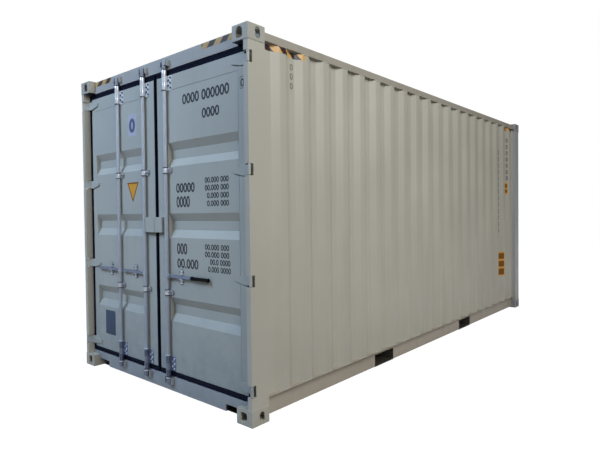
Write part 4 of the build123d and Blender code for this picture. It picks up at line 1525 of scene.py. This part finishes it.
    def upright_stencils(self, name: str, lines: Sequence[Sequence[float]],
                         finish: Finish) -> None:
        """Builds small upright zeros on the side walls.

        Args:
            name: Name of the piece.
            lines: The upright lines.
            finish: Their finish.
        """
        mesh = Mesh()
        for x, head, foot, wide, count in lines:
            pitch = (head - foot) / count
            for side in SIDES:
                wall = WallLine(side)
                reading = wall.along(DOOR_END + x) * -side
                outward = reading.cross(UPWARD)
                start = Vector((DOOR_END + x, wall.face(DOOR_END + x), 0)) - reading * wide / 2
                for i in range(count):
                    z = head - pitch * (i + 1 - self.digit_foot)
                    self.write(mesh, "0", Matrix((
                        (reading.x * wide, 0, outward.x, start.x),
                        (reading.y * wide, 0, outward.y, start.y),
                        (0, pitch * self.digit_share, 0, z), (0, 0, 0, 1))))
        mesh.outward()
        mesh.finish(name, Body.CONTAINER, finish)

    def hazard_stripes(self) -> None:
        """Builds the striped stickers on the header and on the side walls."""
        low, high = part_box("door_header")
        foot, head = (high.z - drop for drop in self.header_drops)
        mesh = Mesh()
        for side, near, far in self.header_films:
            low_y, high_y = sorted((side * near, side * far))
            mesh.block((low.x - self.film, low_y, foot), (low.x, high_y, head))
        mesh.finish("header_hazard_stripes", Body.CONTAINER, HEADER_HAZARD)
        foot, head = (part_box("right_side_wall")[1].z - drop for drop in self.side_drops)
        near, far = self.side_reach
        length = FRONT_END - DOOR_END
        self.side_films("side_hazard_stripes", SIDE_HAZARD,
                        ((near, far, foot, head), (length - far, length - near, foot, head)),
                        self.film)

    def side_films(self, name: str, finish: Finish, films: Sequence[Sequence[float]],
                   lift: float) -> None:
        """Builds films on both side walls.

        Args:
            name: Name of the piece.
            finish: Their finish.
            films: Start, stop, foot and head of each film.
            lift: Distance of their outside from the wall.
        """
        mesh = Mesh()
        for start, stop, foot, head in films:
            for side in SIDES:
                path = WallLine(side).path(foot, DOOR_END + start, DOOR_END + stop, lift)
                mesh.strip(path, head - foot, self.film_thickness, side)
        mesh.finish(name, Body.CONTAINER, finish)

    def triangle(self, name: str, radius: float, thickness: float, finish: Finish) -> None:
        """Builds a plain triangle on the left door that points down.

        Args:
            name: Name of the piece.
            radius: Distance from its centre to its corners.
            thickness: Its thickness, outward from the door.
            finish: Its finish.
        """
        mesh = Mesh()
        centre = Vector((LEAF_FACE, *self.triangle_centre))
        mesh.disc(centre, DOORWARD, radius, thickness, 3)
        bmesh.ops.scale(mesh.bm, verts=mesh.bm.verts, vec=(1, self.triangle_flatten, -1),
                        space=Matrix.Translation(-centre))
        mesh.outward()
        mesh.finish(name, Body.LEFT_DOOR, finish)

    def door_labels(self) -> None:
        """Builds the plate, the triangle and the pale patch on the left door."""
        face = LEAF_FACE - self.plate_thickness
        plate = Mesh()
        plate.block((face, *self.plate_low), (LEAF_FACE, *self.plate_high),
                    self.plate_rounding)
        plate.finish("data_plate", Body.LEFT_DOOR, PLATE, Slot.GALVANISED)
        rivets = Mesh()
        (low_y, low_z), (high_y, high_z) = self.plate_low, self.plate_high
        for y in (low_y + self.rivet_inset, high_y - self.rivet_inset):
            for z in (low_z + self.rivet_inset, high_z - self.rivet_inset):
                rivets.dome(Vector((face, y, z)), self.rivet_radius)
        rivets.finish("data_plate_rivets", Body.LEFT_DOOR, ZINC_BOLT_SHADE, Slot.GALVANISED)
        self.triangle("amber_border", self.border_radius, self.film, BROWN_PRINT)
        self.triangle("amber_patch", self.amber_radius, self.film * 2, AMBER_LABEL)
        patch = Mesh()
        patch.block((LEAF_FACE - self.film, *self.patch_low), (LEAF_FACE, *self.patch_high))
        patch.finish("pale_patch", Body.LEFT_DOOR, PALE_LABEL)
        zero = Mesh()
        text, *place = self.patch_zero
        self.write(zero, text, self.door_place(*place, self.film * 2), self.patch_bold)
        zero.outward()
        zero.finish("pale_patch_zero", Body.LEFT_DOOR, SLATE_PRINT)


@dataclass(frozen=True)
class Lamp:
    """A soft area lamp that looks at the container."""

    name: str
    place: Point
    target: Point
    size: float
    power: float
    colour: Colour = (1.0, 1.0, 1.0)
    spread: float = 180.0

    def build(self) -> None:
        """Builds the lamp."""
        light = bpy.data.lights.new(self.name, "AREA")
        light.energy = self.power
        light.spread = math.radians(self.spread)
        light.size = self.size
        light.color = self.colour
        holder = bpy.data.objects.new(self.name, light)
        holder.location = self.place
        aim = Vector(self.target) - Vector(self.place)
        holder.rotation_euler = aim.to_track_quat("-Z", "Y").to_euler()
        bpy.context.scene.collection.objects.link(holder)


@dataclass
class Studio:
    """Pale floor, soft lamps, a white surround and the camera."""

    eye: Point = (-5.53206, -3.74406, 1.54091)
    azimuth: float = -47.6805
    down: float = 1.1768
    roll: float = -0.6851
    focal_pixels: float = 501.33
    centre_pixel: tuple[float, float] = (275.56, 223.38)
    image: tuple[int, int] = (600, 450)
    sensor: float = 36.0
    white: Colour = (1.0, 1.0, 1.0)
    floor_colour: Colour = (0.14, 0.14, 0.14)
    floor_reach: float = 90.0
    shade_inset: float = 0.115
    sky_colour: Colour = (0.88, 0.94, 1.0)
    sky_strength: float = 0.06
    lamps: tuple[Lamp, ...] = (
        Lamp("side_lamp", (-2.6, -7.0, 6.0), (-2.6, -1.2, 1.4), 4.0, 350.0, (0.96, 1.0, 1.0)),
        Lamp("low_sun", (-9.0, -13.6, 7.5), (-1.0, -1.2, 1.4), 5.0, 545.0, (1.0, 0.95, 0.93)),
        Lamp("door_lamp", (-8.0, 2.5, 7.0), (-3.0, 0.5, 1.7), 4.0, 118.0, (0.54, 0.72, 1.0),
             70.0),
        Lamp("top_lamp", (-2.0, 0.0, 16.0), (-2.0, 0.0, 0.0), 14.0, 120.0),
        Lamp("rear_lamp", (13.0, 8.0, 8.0), (0.0, 0.0, 1.0), 10.0, 1500.0))

    def build(self) -> None:
        """Builds the floor, the surround, the lamps and the camera."""
        self.floor()
        self.surround()
        for lamp in self.lamps:
            lamp.build()
        self.camera()
        bpy.context.scene.view_settings.view_transform = "Standard"

    def floor(self) -> None:
        """Builds the pale floor, which keeps the shadow and is clear from below."""
        bm = bmesh.new()
        bmesh.ops.create_grid(bm, x_segments=1, y_segments=1, size=self.floor_reach)
        mesh = bpy.data.meshes.new("studio_floor")
        bm.to_mesh(mesh)
        bm.free()
        material = bpy.data.materials.new("studio_floor")
        material.use_nodes = True
        self.floor_wiring(Wiring(material.node_tree))
        mesh.materials.append(material)
        ground = bpy.data.objects.new("studio_floor", mesh)
        ground.location.z = CAD_LOW.z
        bpy.context.scene.collection.objects.link(ground)

    def floor_wiring(self, wiring: Wiring) -> None:
        """Fills the floor's material.

        Args:
            wiring: The material's wiring.
        """
        diffuse = wiring.add("ShaderNodeBsdfDiffuse", {"Color": self.floor_colour})
        path = wiring.add("ShaderNodeLightPath").outputs
        seen = wiring.math("MAXIMUM", path["Is Camera Ray"], path["Is Glossy Ray"])
        # Painted shade: the floor's glow is left out well under the container.
        shown = wiring.math("MULTIPLY", seen, self.open_floor(wiring))
        glow = wiring.add("ShaderNodeEmission", {"Color": self.white, "Strength": shown})
        total = wiring.add("ShaderNodeAddShader", {0: diffuse.outputs[0], 1: glow.outputs[0]})
        below = wiring.add("ShaderNodeNewGeometry").outputs["Backfacing"]
        clear = wiring.add("ShaderNodeBsdfTransparent").outputs[0]
        mix = wiring.add("ShaderNodeMixShader", {0: below, 1: total.outputs[0], 2: clear})
        wiring.add("ShaderNodeOutputMaterial", {"Surface": mix.outputs[0]})

    def open_floor(self, wiring: Wiring) -> Socket:
        """Mask that is 1 on the open floor and 0 well under the container, where the floor goes
        without its glow as painted shade.

        Args:
            wiring: The floor material's wiring.

        Returns:
            The mask's socket.
        """
        place = wiring.place()
        past = [wiring.math("GREATER_THAN", wiring.math("ABSOLUTE", wiring.axis(place, axis)),
                            reach - self.shade_inset)
                for axis, reach in (("X", FRONT_END), ("Y", LEFT_SIDE))]
        return wiring.math("MAXIMUM", *past)

    def surround(self) -> None:
        """Builds the world: white to the camera and through glass, soft grey as light."""
        world = bpy.data.worlds.new("surround")
        world.use_nodes = True
        wiring = Wiring(world.node_tree)
        light = wiring.add("ShaderNodeBackground", {"Color": self.sky_colour,
                                                    "Strength": self.sky_strength})
        white = wiring.add("ShaderNodeBackground", {"Color": self.white})
        path = wiring.add("ShaderNodeLightPath").outputs
        seen = wiring.math("MAXIMUM", path["Is Camera Ray"], path["Is Transmission Ray"])
        mix = wiring.add("ShaderNodeMixShader",
                         {0: seen, 1: light.outputs[0], 2: white.outputs[0]})
        wiring.add("ShaderNodeOutputWorld", {"Surface": mix.outputs[0]})
        bpy.context.scene.world = world

    def camera(self) -> None:
        """Builds the camera at the photograph's place and angle."""
        across, tilt, roll = (math.radians(value)
                              for value in (self.azimuth, self.down, self.roll))
        ahead = Vector((-math.sin(across) * math.cos(tilt), math.cos(across) * math.cos(tilt),
                        -math.sin(tilt)))
        level = Vector((math.cos(across), math.sin(across), 0.0))
        upright = level.cross(ahead)
        right = level * math.cos(roll) + upright * math.sin(roll)
        up = upright * math.cos(roll) - level * math.sin(roll)
        data = bpy.data.cameras.new("camera")
        data.sensor_width = self.sensor
        data.lens = self.focal_pixels * self.sensor / self.image[0]
        data.shift_x = (self.image[0] / 2 - self.centre_pixel[0]) / self.image[0]
        data.shift_y = (self.centre_pixel[1] - self.image[1] / 2) / self.image[0]
        holder = bpy.data.objects.new("camera", data)
        turn = Matrix((right, up, -ahead)).transposed().to_4x4()
        holder.matrix_world = Matrix.Translation(self.eye) @ turn
        bpy.context.scene.collection.objects.link(holder)
        bpy.context.scene.camera = holder


def main() -> None:
    """Builds the looks in order: studio, shell, welds, doors, rods and markings."""
    logging.basicConfig(level=logging.INFO, format="%(name)s: %(message)s")
    Studio().build()
    shell = Shell()
    shell.build()
    shell.dress()
    WeldSeams().build()
    leaves = ((-1, (RODS["right"],)), (1, (RODS["left_inner"], RODS["left_outer"])))
    for side, rods in leaves:
        DoorLeaf(side, rods).build()
    for name, y in RODS.items():
        LockRod(name, y).build()
    for side, rods in leaves:
        GuideSleeves(side, rods).build()
    Grip().build()
    Markings().build()


if __name__ == "__main__":
    main()
